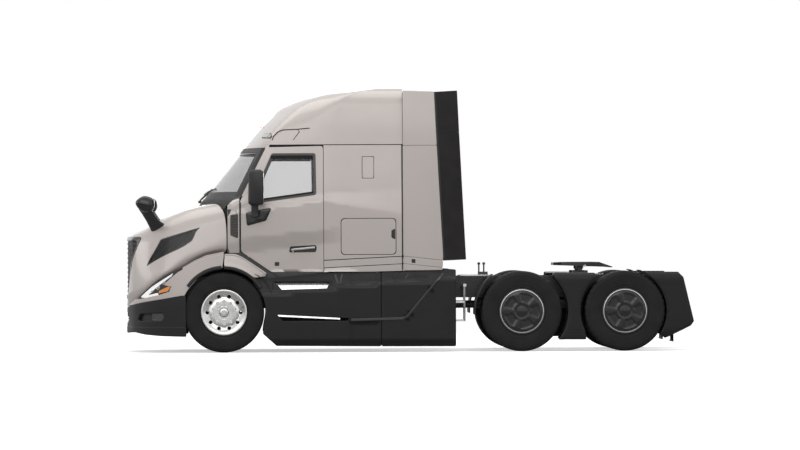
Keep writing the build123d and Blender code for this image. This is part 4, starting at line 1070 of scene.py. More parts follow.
def make_windscreen():
    glass = mirrored_outline([(1.09, 2.022), (0.995, 2.572)])
    surround = mirrored_outline([(1.185, 1.985), (1.24, 2.06), (1.215, 2.30), (1.15, 2.64)])
    piece("windscreen", wrap_panel(glass, radius=0.045, lift=-0.010, depth=0.006, step=0.1,
                                   roll=0.001), "screen_glass", replaces=["cab_glass"])
    piece("windscreen_band", wrap_panel(surround, holes=(rounded(glass, 0.045),), radius=0.05,
                                        lift=-0.004, depth=0.012), "gloss_black")
    header = mirrored_outline([(1.15, 2.648), (1.145, 2.682)])
    piece("roof_header", wrap_panel(header, radius=0.004), "paint")
    pillar = []
    for z in np.linspace(2.02, 2.668, 14):
        px, _, length = cab_outline(z * 1000)
        door_x = np.interp(z * 1000, (1975, 2652), (-2181, -1840)) - 9
        to_door = float(np.interp(door_x, px, length)) * MM
        to_band = float(np.interp(z, (1.985, 2.06, 2.30, 2.64, 2.7),
                                  (1.19, 1.245, 1.22, 1.155, 1.15)))
        pillar.append((to_band, to_door, z))
    outline = [(a, z) for a, _, z in pillar] + [(b, z) for _, b, z in reversed(pillar)]
    piece("windscreen_pillars", both(skin(np.array(outline), cab_wrap, 0.05, roll=0.004,
                                          depth=0.016, lift=0.004)), "paint")
    base = mirrored_outline([(1.10, 1.862), (1.15, 1.94), (1.10, 1.985)])
    piece("cowl_grille", wrap_panel(base, radius=0.02, lift=0.006, depth=0.02), "grained")
    arms = []
    for side in (-1, 1):
        root = (-2715, side * 150 - 100, 1945)
        tip = (-2555, side * 640 - 100, 2115)
        arms.append(tube(spline([root, (-2700, side * 300 - 100, 1990), tip]), 8, 8))
        blade = [(-2660, side * 330 - 100, 2045), (-2600, side * 560 - 100, 2085),
                 (-2500, side * 860 - 100, 2120)]
        arms.append(tube(spline(blade), (5, 9), 8))
        arms.append(lathe([(0, 0), (22, 0), (20, 22), (12, 30), (0, 30)], root, (-0.4, 0, 1), 20))
    piece("wipers", join(*arms), "gloss_black")


def roof_grid():
    """Points of the roof's outside, from the left back round the front to the right back."""
    levels = np.concatenate((np.linspace(2686, 3330, 34), np.linspace(3336, 3405, 14)[1:],
                             np.linspace(3407, 3435, 12)))
    rows = []
    for z in levels:
        px, py, length = cab_outline(min(z, 3434.9))
        s = np.concatenate((np.linspace(0, 0.62, 40), np.linspace(0.62, 1, 42)[1:]))
        x = np.interp(s * length[-1], length, px)
        y = np.interp(s * length[-1], length, py)
        lift = SKIN_LIFT if z < 3400 else 0.5
        left = np.stack((x, -(y + lift * (y > 1)), np.full_like(x, z)), 1)
        left[:, 0] -= lift * (1 - s) ** 2
        right = left[1:] * (1, -1, 1)
        rows.append(np.concatenate((right[::-1], left)))
    return np.array(rows)


def make_roof():
    rows = roof_grid()
    grid = rows.transpose(1, 0, 2)
    half = grid.shape[0] // 2
    top = rows[-1]
    crown = np.array([np.linspace(top[half + k], top[half - k], 11) for k in range(1, half + 1)])
    piece("roof_skin", join(shell(grid, 14), shell(crown, 8)), "paint", angle=50,
          replaces=["roof_shell"])
    inner = rows.copy()
    inner[:, :, 1] *= 0.955
    inner[:, :, 0] = CAB_BACK - 40 + (inner[:, :, 0] - CAB_BACK) * 0.965
    inner[:, :, 2] -= 30
    top = inner[-1]
    ceiling = np.array([np.linspace(top[half + k], top[half - k], 11) for k in range(1, half + 1)])
    piece("headliner", join(shell(inner.transpose(1, 0, 2), 6), shell(ceiling, 6)), "trim",
          angle=50)
    marker = [(-1894, 2780), (-1866, 2827), (-1794, 2827), (-1786, 2790), (-1800, 2776)]
    piece("roof_marker_lamps", both(cab_panel(marker, radius=12, lift=0.012, depth=0.014)),
          "clear_lens")
    piece("roof_marker_housings", both(cab_panel(grow(marker, 9), radius=16, lift=0.003,
                                                 depth=0.008)), "grained")
    cab_lamps, bases = [], []
    lamp_z, lamp_axis = 2925, (-0.75, 0, 0.66)
    px, py, _ = cab_outline(lamp_z)
    for y in (-420, -210, 0, 210, 420):
        at = (float(np.interp(abs(y), py[:50], px[:50])) + 2, y, lamp_z)
        cab_lamps.append(lathe([(0, 0), (30, 0), (27, 5), (16, 9), (0, 10)], at, lamp_axis, 28))
        bases.append(lathe([(0, -12), (37, -12), (37, 1), (31, 3), (0, 3)], at, lamp_axis, 28))
    piece("roof_front_lamps", join(*cab_lamps), "amber")
    piece("roof_front_lamp_bases", join(*bases), "paint")
    # Thin dark ribs drawn round the roof's recess, which the roof's form doesn't have: painted shade
    # along its edges.
    recess = side_line([(-1770, 2745), (-1758, 2790), (-1700, 2850), (-1640, 2874), (-1440, 2884),
                        (-1288, 2897)], 9, rise=0.0035)
    recess = join(recess, side_line([(-1440, 2880), (-1420, 2850), (-1500, 2745)], 6, rise=0.003))
    piece("roof_recess_shade_lines", both(recess), "seal_and_gap_shade")


def make_back_wall():
    """The sleeper's rear wall with pressed upright beads, and the air line plate and sockets on it."""
    zs = np.concatenate((np.linspace(1052, 3100, 60), np.linspace(3110, 3424, 12)))
    ys = np.linspace(-1, 1, 151)
    grid = []
    for z in zs:
        half = cab_half_width(min(z, 3434)) - 4
        if 1195 < z < 3105:
            half = min(half, 1082)
        y = ys * half
        bead = smooth_step((np.cos(y * 2 * math.pi / 240) - 0.45) / 0.25)
        inside = smooth_step((z - 1180) / 60) * smooth_step((3020 - z) / 60)
        inside = inside * smooth_step((950 - np.abs(y)) / 40)
        x = CAB_BACK + 3 + 9 * bead * inside
        grid.append(np.stack((x, y, np.full_like(y, z)), 1))
    grid = np.array(grid).transpose(1, 0, 2)
    piece("back_wall", shell(grid, 2.5), "paint", angle=50)
    hoses = []
    for y, sag in ((-140, 0), (0, 25), (140, 10)):
        hoses.append(lathe([(0, 0), (26, 0), (26, 26), (14, 40), (14, 60), (0, 60)],
                           (CAB_BACK + 10, y, 1260 + sag), (1, 0, 0), 20))
    plate = block((CAB_BACK + 2, CAB_BACK + 16), (-230, 230), (1190, 1350))
    piece("air_line_plate", plate, "bare_steel", bevel=0.003)
    piece("air_line_sockets", join(*hoses), "dark_steel")


def make_cab():
    make_doors()
    make_sleeper()
    make_cowl()
    make_windscreen()
    make_roof()
    make_back_wall()


make_cab()


# ---------------------------------------------------------------- hood
HOOD_X = (-1270, -1262, -1197, -1037, -797, -500, -237, 60)
# at each of those places (y, z) from the lower edge behind the flare up to the middle of the top
HOOD_LINES = (
    ((150, 640), (150, 1000), (150, 1440), (90, 1447), (0, 1450)),
    ((415, 640), (400, 1050), (345, 1465), (200, 1480), (0, 1487)),
    ((740, 690), (715, 1100), (640, 1500), (380, 1525), (0, 1537)),
    ((968, 825), (915, 1130), (810, 1565), (480, 1600), (0, 1612)),
    ((1085, 1010), (1020, 1190), (900, 1700), (540, 1732), (0, 1745)),
    ((1060, 1135), (1078, 1250), (950, 1820), (570, 1855), (0, 1870)),
    ((1058, 1262), (1088, 1330), (990, 1885), (590, 1922), (0, 1937)),
    ((1060, 1315), (1092, 1395), (1035, 1925), (620, 1962), (0, 1978)))
HOOD_LENGTH, HOOD_GIRTH = 1.96, 2.9      # the ranges of u and v on the hood's upper skin
# the nose in plan, from the middle round to the left side
NOSE_PLAN = ((-1270, 0), (-1270, 200), (-1262, 420), (-1197, 750), (-1037, 985), (-797, 1125),
             (-500, 1205), (-237, 1205), (60, 1205))
NOSE_REACH = 2.16        # metres round from the middle to the nose wall's end
NOSE_LEAN = 35.0
HOOD_SPLIT = 37          # x of the hood's rear edge in the middle, from the front axle
# the grille's half widths at these heights
GRILLE_HEIGHTS = (700, 889, 1229, 1380, 1497)
GRILLE_WIDTHS = (500, 600, 740, 790, 770)


def make_hood_patch():
    """The hood's upper skin; u runs rearwards and v from the left edge over to the right one."""
    lines = []
    for row in HOOD_LINES:
        (gy, gz), *rest = row
        half = [(gy - 55, gz - 60), (gy, gz), *rest]
        whole = [(-y, z) for y, z in half] + [(y, z) for y, z in half[-2::-1]]
        soft = chaikin(whole, 4)
        count = np.linspace(0, len(soft) - 1, 161)
        lines.append(np.stack([np.interp(count, np.arange(len(soft)), column)
                               for column in soft.T], 1))
    lines = np.array(lines)
    fine = np.linspace(0, len(HOOD_X) - 1, 57)
    xs = monotone(range(len(HOOD_X)), HOOD_X, fine)
    grid = np.empty((len(fine), lines.shape[1], 3))
    grid[:, :, 0] = xs[:, None] + FRONT
    i = np.minimum(fine.astype(int), len(HOOD_X) - 2)
    w = Patch.weights(fine - i)
    for k in (0, 1):
        total = 0
        for m in range(4):
            total = total + w[m][:, None] * lines[np.clip(i + m - 1, 0, len(HOOD_X) - 1), :, k]
        grid[:, :, k + 1] = total
    return Patch(grid, (0, HOOD_LENGTH), (0, HOOD_GIRTH))


def make_nose_patch():
    """The upright wall of the nose and the front flares: u is the way round from the middle to
    the left, v the height. It leans in towards its top."""
    plan = np.array(NOSE_PLAN, float)
    whole = np.vstack((plan[:0:-1] * (1, -1), plan))
    soft = chaikin(whole, 4)
    length = distance_along(soft)
    length -= length[-1] / 2
    us = np.linspace(-NOSE_REACH, NOSE_REACH, 271)
    zs = np.linspace(200, 1320, 57)
    x = np.interp(us * 1000, length, soft[:, 0])
    y = np.interp(us * 1000, length, soft[:, 1])
    slope = np.stack((np.gradient(x), np.gradient(y)), 1)
    slope /= np.linalg.norm(slope, axis=1, keepdims=True)
    out = np.stack((-slope[:, 1], slope[:, 0]), 1)
    if out[135, 0] > 0:
        out = -out
    grid = []
    for z in zs:
        lean = -NOSE_LEAN * smooth_step((z - 560) / 760) ** 1.2
        grid.append(np.stack((x + FRONT + out[:, 0] * lean, -(y + out[:, 1] * lean),
                              np.full_like(x, z)), 1))
    return Patch(np.array(grid).transpose(1, 0, 2), (-NOSE_REACH, NOSE_REACH),
                 (zs[0] * MM, zs[-1] * MM))


def make_front_patch():
    """The nose seen from the front: u is the way to the left of the middle, v the height."""
    us = np.linspace(-1.0, 1.0, 161)
    zs = np.linspace(600, 1560, 97)
    grid = np.empty((len(us), len(zs)))
    for j, z in enumerate(zs):
        widths = []
        for line in HOOD_LINES:
            y, heights = np.array(line).T
            widths.append(float(np.interp(z, heights, y)) if z < heights[-1] else -1.0)
        widths = np.maximum.accumulate(np.array(widths) + np.arange(len(widths)) * 1e-3)
        grid[:, j] = np.interp(np.abs(us) * 1000, widths, HOOD_X)
    padded = np.pad(grid, 4, mode="edge")
    kernel = np.array((1, 3, 6, 8, 9, 8, 6, 3, 1), float)
    kernel /= kernel.sum()
    soft = sum(kernel[k] * padded[k:k + grid.shape[0], :] for k in range(9))
    soft = sum(kernel[k] * soft[:, k:k + grid.shape[1]] for k in range(9))
    points = np.empty((len(us), len(zs), 3))
    points[:, :, 0] = soft + FRONT
    points[:, :, 1] = -us[:, None] * 1000
    points[:, :, 2] = zs
    return Patch(points, (us[0], us[-1]), (zs[0] * MM, zs[-1] * MM))


hood_patch = make_hood_patch()
nose_patch = make_nose_patch()
front_patch = make_front_patch()

SIDE_INTAKE = ((-3224, 1468), (-2690, 1628), (-2756, 1562), (-2808, 1446), (-2941, 1358),
               (-3420, 1104), (-3364, 1226))
LAMP_LOWER_EDGE = ((-3487, 690), (-3250, 740), (-3109, 784), (-3080, 857), (-3176, 880),
                   (-3080, 968), (-2990, 1040), (-2939, 1068))
FLARE_TOP = ((-2790, 1152), (-2629, 1225), (-2405, 1268))
FLARE_ARCH = ((-2428, 1099), (-2554, 1084), (-2701, 1004), (-2820, 885), (-2887, 797), (-2917, 742))
HOOD_BOTTOM = ((-2960, 742), (-3220, 695), (-3590, 622), (-3640, 610))
LAMP_HOUSING = ((-3561, 700), (-3487, 692), (-3250, 742), (-3109, 788), (-3084, 857), (-3172, 885),
                (-3080, 974), (-2931, 1099), (-3101, 1012), (-3330, 880))


def nose_points(points):
    """Side-view points as places on the nose wall."""
    return nose_patch.find(points)


def nose_skin(points, holes=(), **how):
    return skin(points, nose_patch, holes=holes, **how)


def mirrored_nose(half):
    half = np.asarray(half, float)
    return np.vstack((half, (half * (-1, 1))[::-1]))


def make_hood():
    edge = []
    for v in np.linspace(0.03, HOOD_GIRTH / 2, 26):
        y = abs(hood_patch(np.array([(HOOD_LENGTH, v)]))[0, 1]) * 1000
        x = HOOD_SPLIT - (HOOD_SPLIT + 334) * (1 - (y / 1082) ** 2)
        target = (min(x, HOOD_SPLIT - 6) + FRONT) * MM
        us = np.linspace(1.0, HOOD_LENGTH, 300)
        at = hood_patch(np.stack((us, np.full_like(us, v)), 1))
        edge.append((float(np.interp(target, at[:, 0], us)), v))
    front = []
    for v in np.linspace(HOOD_GIRTH / 2, 0.03, 34):
        us = np.linspace(0.0, 1.2, 400)
        x, y, z = (hood_patch(np.stack((us, np.full_like(us, v)), 1)) * 1000).T
        side = np.interp(z, GRILLE_HEIGHTS, GRILLE_WIDTHS)
        clear = (np.abs(y) > side) | (z > 1500)
        front.append((max(us[np.argmax(clear)], 0.02), v))
    rear = [(u, HOOD_GIRTH - v) for u, v in reversed(edge[:-1])]
    outline = edge + rear + [(u, HOOD_GIRTH - v) for u, v in front[::-1]] + front[1:]
    intake = hood_patch.find(SIDE_INTAKE)
    intake_right = np.stack((intake[:, 0], HOOD_GIRTH - intake[:, 1]), 1)
    opening = [rounded(intake, 0.02), rounded(intake_right, 0.02)]
    panel = skin(np.array(outline), hood_patch, 0.06, opening, roll=0.006, depth=0.018)
    piece("hood_skin", panel, "paint", "hood", replaces=["hood"])
    rim = skin(rounded(grow(intake, 0.004), 0.022), hood_patch, 0.05,
               [rounded(inset(intake, 0.016), 0.014)], roll=0.003, depth=0.02, lift=-0.004)
    sheet = skin(rounded(grow(intake, 0.004), 0.02), hood_patch, 0.05, roll=0.002, depth=0.004,
                 lift=-0.034)
    low = intake.min(0)
    ribs = []
    clip = inset(intake, 0.008)
    for k in range(-14, 26):
        ribs += clipped_bar(clip, (low[0] + 0.03 * k, low[1]), (1.0, 1.15), 0.0045, hood_patch,
                            -0.012, 0.018)
    for k in range(-10, 22):
        ribs += clipped_bar(clip, (low[0], low[1] + 0.05 * k), (1.0, 0.42), 0.004, hood_patch,
                            -0.010, 0.014)
    intake_parts = join(rim, sheet, *ribs)
    piece("hood_intakes", both(intake_parts), "gloss_black", "hood", replaces=["side_intakes"])


def clipped_bar(outline, start, direction, half_width, surface, lift, depth):
    """The stretches of a straight bar that lie inside an outline, laid on a surface."""
    d = np.asarray(direction, float)
    d /= np.linalg.norm(d)
    across = np.array((-d[1], d[0])) * half_width
    ts = np.linspace(-0.6, 1.8, 241)
    pts = np.asarray(start) + np.outer(ts, d)
    inside = within(outline, pts)
    bars, run = [], []
    for k in range(len(ts)):
        if inside[k]:
            run.append(pts[k])
        if (not inside[k] or k == len(ts) - 1) and len(run) > 2:
            a, b = run[0], run[-1]
            bars.append(skin(np.array((a - across, b - across, b + across, a + across)), surface,
                             0.06, roll=0.0012, depth=depth, lift=lift))
        if not inside[k]:
            run = []
    return bars


def make_nose():
    """The painted lower wall: under the lamps and over the wheels."""
    lower = nose_points(LAMP_LOWER_EDGE)
    flare = nose_points(FLARE_TOP)
    arch = nose_points(FLARE_ARCH)
    bottom = nose_points(HOOD_BOTTOM)
    rear_u = flare[-1][0]
    half = [(0.0, 0.690), (lower[0][0] - 0.12, 0.690), *lower, *flare, (rear_u, 1.262), *arch,
            *bottom, (0.30, 0.606), (0.302, 0.668), (0.198, 0.668), (0.198, 0.606), (0.0, 0.606)]
    left = [p for p in half if p[0] > 0]
    outline = np.array(left + [(-u, v) for u, v in reversed(left)])
    panel = nose_skin(outline, step=0.05, roll=0.006, depth=0.010)
    piece("nose_wall", panel, "paint", "hood")
    line = nose_points(((-2939, 1068), *FLARE_TOP))
    band = [(u, v - 0.004) for u, v in line] + [(u, v + 0.034) for u, v in line[::-1]]
    piece("flare_grooves", both(nose_skin(np.array(band), step=0.05, roll=0.002, depth=0.02,
                                          lift=-0.026)), "paint", "hood")


def make_headlamps():
    housing = nose_points(LAMP_HOUSING)
    bowl = nose_skin(rounded(housing, 0.01), step=0.05, roll=0.003, depth=0.03, lift=-0.016)
    upper = nose_points(((-3487, 716), (-3330, 856), (-3101, 1000), (-3060, 1030), (-3088, 990),
                         (-3290, 840), (-3400, 738)))
    lower = nose_points(((-3487, 712), (-3400, 738), (-3262, 772), (-3256, 748), (-3400, 716)))
    amber = nose_points(((-3250, 769), (-3128, 800), (-3100, 850), (-3120, 856), (-3240, 800)))
    led = [nose_skin(rounded(a, 0.006), step=0.05, roll=0.003, depth=0.012, lift=-0.003)
           for a in (upper, lower)]
    turn_lamp = nose_skin(rounded(amber, 0.006), step=0.05, roll=0.003, depth=0.012, lift=-0.003)
    lenses = []
    for x, z, size in ((-3345, 800, 26), (-3262, 842, 30), (-3180, 905, 26)):
        at = nose_points(((x, z),))
        here = nose_patch(at)[0] * 1000
        beside = nose_patch(at + (0.01, 0))[0] * 1000
        along = unit((beside - here)[None])[0]
        outward = np.cross(along, (0, 0, 1))
        lenses.append(lathe([(0, 0), (size, 0), (size, 10), (size * 0.8, 14), (size * 0.5, 17),
                             (0, 19)], here - outward * 20, outward, 36))
    piece("headlamp_housings", both(bowl), "gloss_black", "hood",
          replaces=["headlamps"])
    piece("headlamp_leds", both(join(*led)), "led", "hood")
    piece("headlamp_turn_lamps", both(turn_lamp), "amber", "hood")
    piece("headlamp_lenses", both(join(*lenses)), "clear_lens", "hood")


def make_grille():
    """The main grille between the painted skins: a frame, slats and a fine mesh behind them."""
    half = [(u * MM, z * MM) for z, u in zip(GRILLE_HEIGHTS, GRILLE_WIDTHS)]
    frame_outline = np.array(half + [(-u, v) for u, v in reversed(half)])
    hole = rounded(inset(frame_outline, 0.042), 0.05)
    surround = skin(rounded(frame_outline, 0.03), front_patch, 0.05, [hole], roll=0.006, depth=0.04,
                    lift=0.005)
    backing = skin(rounded(frame_outline, 0.05), front_patch, 0.08, roll=0.001, depth=0.004,
                   lift=-0.013)
    slats, uprights = [], []
    for z in np.arange(0.79, 1.46, 0.062):
        slats += clipped_bar(hole, (-0.9, z), (1, 0), 0.011, front_patch, -0.004, 0.012)
    for u in np.arange(-0.78, 0.79, 0.045):
        uprights += clipped_bar(hole, (u, 0.5), (0, 1), 0.003, front_patch, -0.010, 0.004)
    for z in np.arange(0.76, 1.48, 0.0155):
        uprights += clipped_bar(hole, (-0.9, z), (1, 0), 0.0022, front_patch, -0.011, 0.003)
    piece("grille_surround", surround, "gloss_black", "hood", replaces=["grille"])
    piece("grille_slats", join(*slats), "grained", "hood")
    piece("grille_mesh", join(backing, *uprights), "fairing", "hood")


def make_hood_mirrors():
    arm = stacked([[(x + wide * math.cos(a), y + thick * math.sin(a), z)
                    for a in all_round(28)]
                   for z, x, wide, y, thick in (
                       (1520, -3262, 40, -800, 34), (1570, -3262, 82, -808, 48),
                       (1612, -3258, 104, -820, 52), (1646, -3266, 112, -838, 50),
                       (1674, -3288, 104, -852, 47), (1710, -3322, 88, -872, 43),
                       (1750, -3352, 82, -895, 41), (1800, -3384, 80, -928, 40),
                       (1850, -3416, 82, -958, 40), (1900, -3436, 84, -985, 38),
                       (1930, -3440, 60, -1000, 30))])
    head_outline = np.array(((-3552, 1948), (-3505, 1998), (-3434, 2036), (-3352, 2018),
                             (-3303, 1984), (-3303, 1925), (-3303, 1868), (-3345, 1818),
                             (-3440, 1815), (-3515, 1870)))
    soft = chaikin(head_outline, 2, closed=True)
    rings = []
    for y_at, size in ((-935, 0.72), (-950, 0.9), (-985, 1.0), (-1060, 1.0), (-1100, 0.93),
                       (-1122, 0.74)):
        middle = soft.mean(0)
        ring = middle + (soft - middle) * size
        rings.append([(x, y_at, z) for x, z in ring])
    head = stacked(rings)
    piece("hood_mirror_heads", both(join(head, arm)), "gloss_black", "hood",
          replaces=["hood_mirrors"], angle=50)
    face = prism(metres(rounded(((-1098, 1880), (-962, 1880), (-962, 1972), (-1098, 1972)), 24)),
                 ((-3301 * MM, 0, 0), (0, 1, 0), (0, 0, 1)), 0.004)
    piece("hood_mirror_glass", both(face), "mirror", "hood")


def stacked(rings):
    """A closed form through rings with the same number of points."""
    g = np.asarray(rings, float) * MM
    rows, columns = g.shape[:2]
    faces = []
    for r in range(rows - 1):
        for c in range(columns):
            d = (c + 1) % columns
            faces.append((r * columns + c, r * columns + d, (r + 1) * columns + d,
                          (r + 1) * columns + c))
    faces.append(tuple(range(columns - 1, -1, -1)))
    faces.append(tuple((rows - 1) * columns + c for c in range(columns)))
    verts = g.reshape(-1, 3)
    centre = verts.mean(0)
    a, b, c = (verts[i] for i in faces[0][:3])
    if np.dot(np.cross(b - a, c - a), (a + c) / 2 - centre) < 0:
        faces = [tuple(reversed(f)) for f in faces]
    return verts, faces, None


def make_hood_parts():
    make_hood()
    make_nose()
    make_headlamps()
    make_grille()
    make_hood_mirrors()


make_hood_parts()


# ---------------------------------------------------------------- bumper
def make_bumper():
    top = nose_points(((-3628, 586), (-2950, 727), (-2909, 735)))
    low = nose_points(((-2905, 336), (-3590, 336)))
    lip_top = nose_points(((-3590, 326), (-2905, 324)))
    lip_low = nose_points(((-2903, 218), (-3223, 228), (-3420, 245), (-3560, 275)))
    pocket = rounded(nose_points(((-3532, 420), (-3500, 515), (-3190, 526), (-3171, 480),
                                  (-3200, 405), (-3500, 397))), 0.03)
    pocket_right = pocket * (-1, 1)
    intake = rounded([(-0.56, 0.375), (0.56, 0.375), (0.50, 0.525), (-0.50, 0.525)], 0.03)
    outline = mirrored_nose([(top[0][0] - 0.3, 0.578), *top, *low])
    upper = nose_skin(outline, [pocket, pocket_right, intake], step=0.05, roll=0.012, depth=0.02)
    lip_outline = mirrored_nose([*lip_top, *lip_low, (0.55, 0.27), (0.3, 0.262)])
    lip = nose_skin(lip_outline, step=0.05, roll=0.012, depth=0.02, lift=0.004)
    # A thin grey strip sunk between the upper skin and the lip: a painted highlight line along the
    # crease.
    crease = nose_skin(mirrored_nose([*nose_points(((-3590, 333), (-2907, 335), (-2907, 327),
                                                    (-3590, 325)))]),
                       step=0.08, roll=0.001, depth=0.006, lift=-0.006)
    linings = [nose_skin(grow(p, 0.006), step=0.06, roll=0.001, depth=0.01, lift=-0.045)
               for p in (pocket, pocket_right)]
    for loop in (pocket, pocket_right, intake):
        linings.append(nose_skin(grow(loop, 0.003), [inset(loop, 0.012)], step=0.06, roll=0.002,
                                 depth=0.035, lift=-0.006))
    back = nose_skin(grow(intake, 0.006), step=0.08, roll=0.001, depth=0.006, lift=-0.05)
    slats = []
    for z in (0.40, 0.432, 0.464, 0.496):
        slats += clipped_bar(intake, (-0.7, z), (1, 0), 0.006, nose_patch, -0.012, 0.026)
    piece("bumper_skin", join(upper, lip), "bumper", replaces=["bumper"])
    piece("bumper_crease_highlight", crease, "frame_band")
    piece("bumper_linings", join(back, *linings, *slats), "grained")
    lamp = nose_skin(rounded(nose_points(((-3326, 430), (-3318, 508), (-3186, 514), (-3178, 440),
                                          (-3190, 425))), 0.02), step=0.05, roll=0.006,
                     depth=0.02, lift=-0.018)
    bezel_line = rounded(nose_points(((-3340, 420), (-3332, 519), (-3176, 522), (-3168, 430),
                                      (-3186, 413))), 0.02)
    bezel = nose_skin(bezel_line, [inset(bezel_line, 0.012)], step=0.05, roll=0.003, depth=0.03,
                      lift=-0.012)
    piece("fog_lamps", both(lamp), "smoked_lens")
    piece("fog_lamp_bezels", both(bezel), "frame_band")
    hinge_links = []
    for y in (-250, 250):
        hinge_links.append(block((FRONT - 1262, FRONT - 1180), (y - 45, y + 45), (470, 585)))
        for edge in (-32, 32):
            hinge_links.append(block((FRONT - 1243, FRONT - 1227), (y + edge - 10, y + edge + 10),
                                     (560, 632)))
        hinge_links.append(tube([(FRONT - 1235, y - 44, 621), (FRONT - 1235, y + 44, 621)], 7, 16))
    hinge_links.append(block((FRONT - 1196, FRONT - 1190), (-340, 340), (480, 686)))
    piece("hood_hinge_brackets", join(*hinge_links), "grained", bevel=0.002)
    for y, side in ((-250, "left"), (250, "right")):
        lug = block((FRONT - 1244, FRONT - 1226), (y - 17, y + 17), (612, 690))
        piece(f"hood_hinge_lug_{side}", lug, "grained", "hood", bevel=0.002)


# ---------------------------------------------------------------- cab flares and chassis fairings
FAIRING_Y = 1201.0
ARCH_Z = AXLE_Z + 21               # the cab flare's arch has its centre above the axle


def make_flares():
    def surface(uv):
        x, z = uv.T / MM
        arch = ARCH_Z + np.sqrt(np.maximum(0, 565 ** 2 - (x - FRONT) ** 2))
        lean = 42 * smooth_step((z - arch) / 190)
        return np.stack((x, -(1203 - lean), z), 1) * MM
    top = ((-2390, 1268), (-2258, 1268), (-2180, 1236), (-2109, 1193), (-1858, 1022))
    arc = arc_points(FRONT, 560, 53, 88, 9, ARCH_Z)
    face = skin(metres([*top, (-1876, 985), (-2000, 975), *arc]), surface, 0.04, roll=0.006,
                depth=0.02)
    rows = []
    for x, z in chaikin(top, 2):
        rows.append([(x, -1168 + 90 * t, z - 8 + 18 * math.sin(t * 1.5))
                     for t in np.linspace(0, 1, 7)])
    piece("cab_flare_skins", both(join(face, shell(rows, 10))), "paint", replaces=["cab_flares"])
    liner = []
    for a in np.radians(np.linspace(20, 90, 20)):
        radius = 571 + 5 * math.sin(a * 40) + 80 * smooth_step((math.radians(66) - a) / 0.55)
        liner.append([(FRONT + radius * math.cos(a), y, ARCH_Z + radius * math.sin(a))
                      for y in np.linspace(-1190, -560, 12)])
    piece("wheel_arch_liners", both(shell(np.array(liner)[:, ::-1], -8)), "liner")
    well = arc_points(FRONT, 592, 90, 38, 16) + [(FRONT + 466, 880), (FRONT, 880)]
    piece("wheel_well_walls", both(side_block(well, -566, -560)), "liner")
    lips = []
    for low, high in ((32, 90), (93, 146)):
        rows = []
        for a in np.radians(np.linspace(low, high, 26)):
            rows.append([(FRONT + r * math.cos(a), -y, ARCH_Z + r * math.sin(a))
                         for r, y in ((540, 1120), (541, 1188), (552, 1200), (572, 1201),
                                      (580, 1188), (580, 1150))])
        lips.append(shell(np.array(rows)[:, ::-1], -5))
    piece("rear_arch_lips", both(lips[0]), "grained")
    piece("front_arch_lips", both(lips[1]), "grained", "hood")


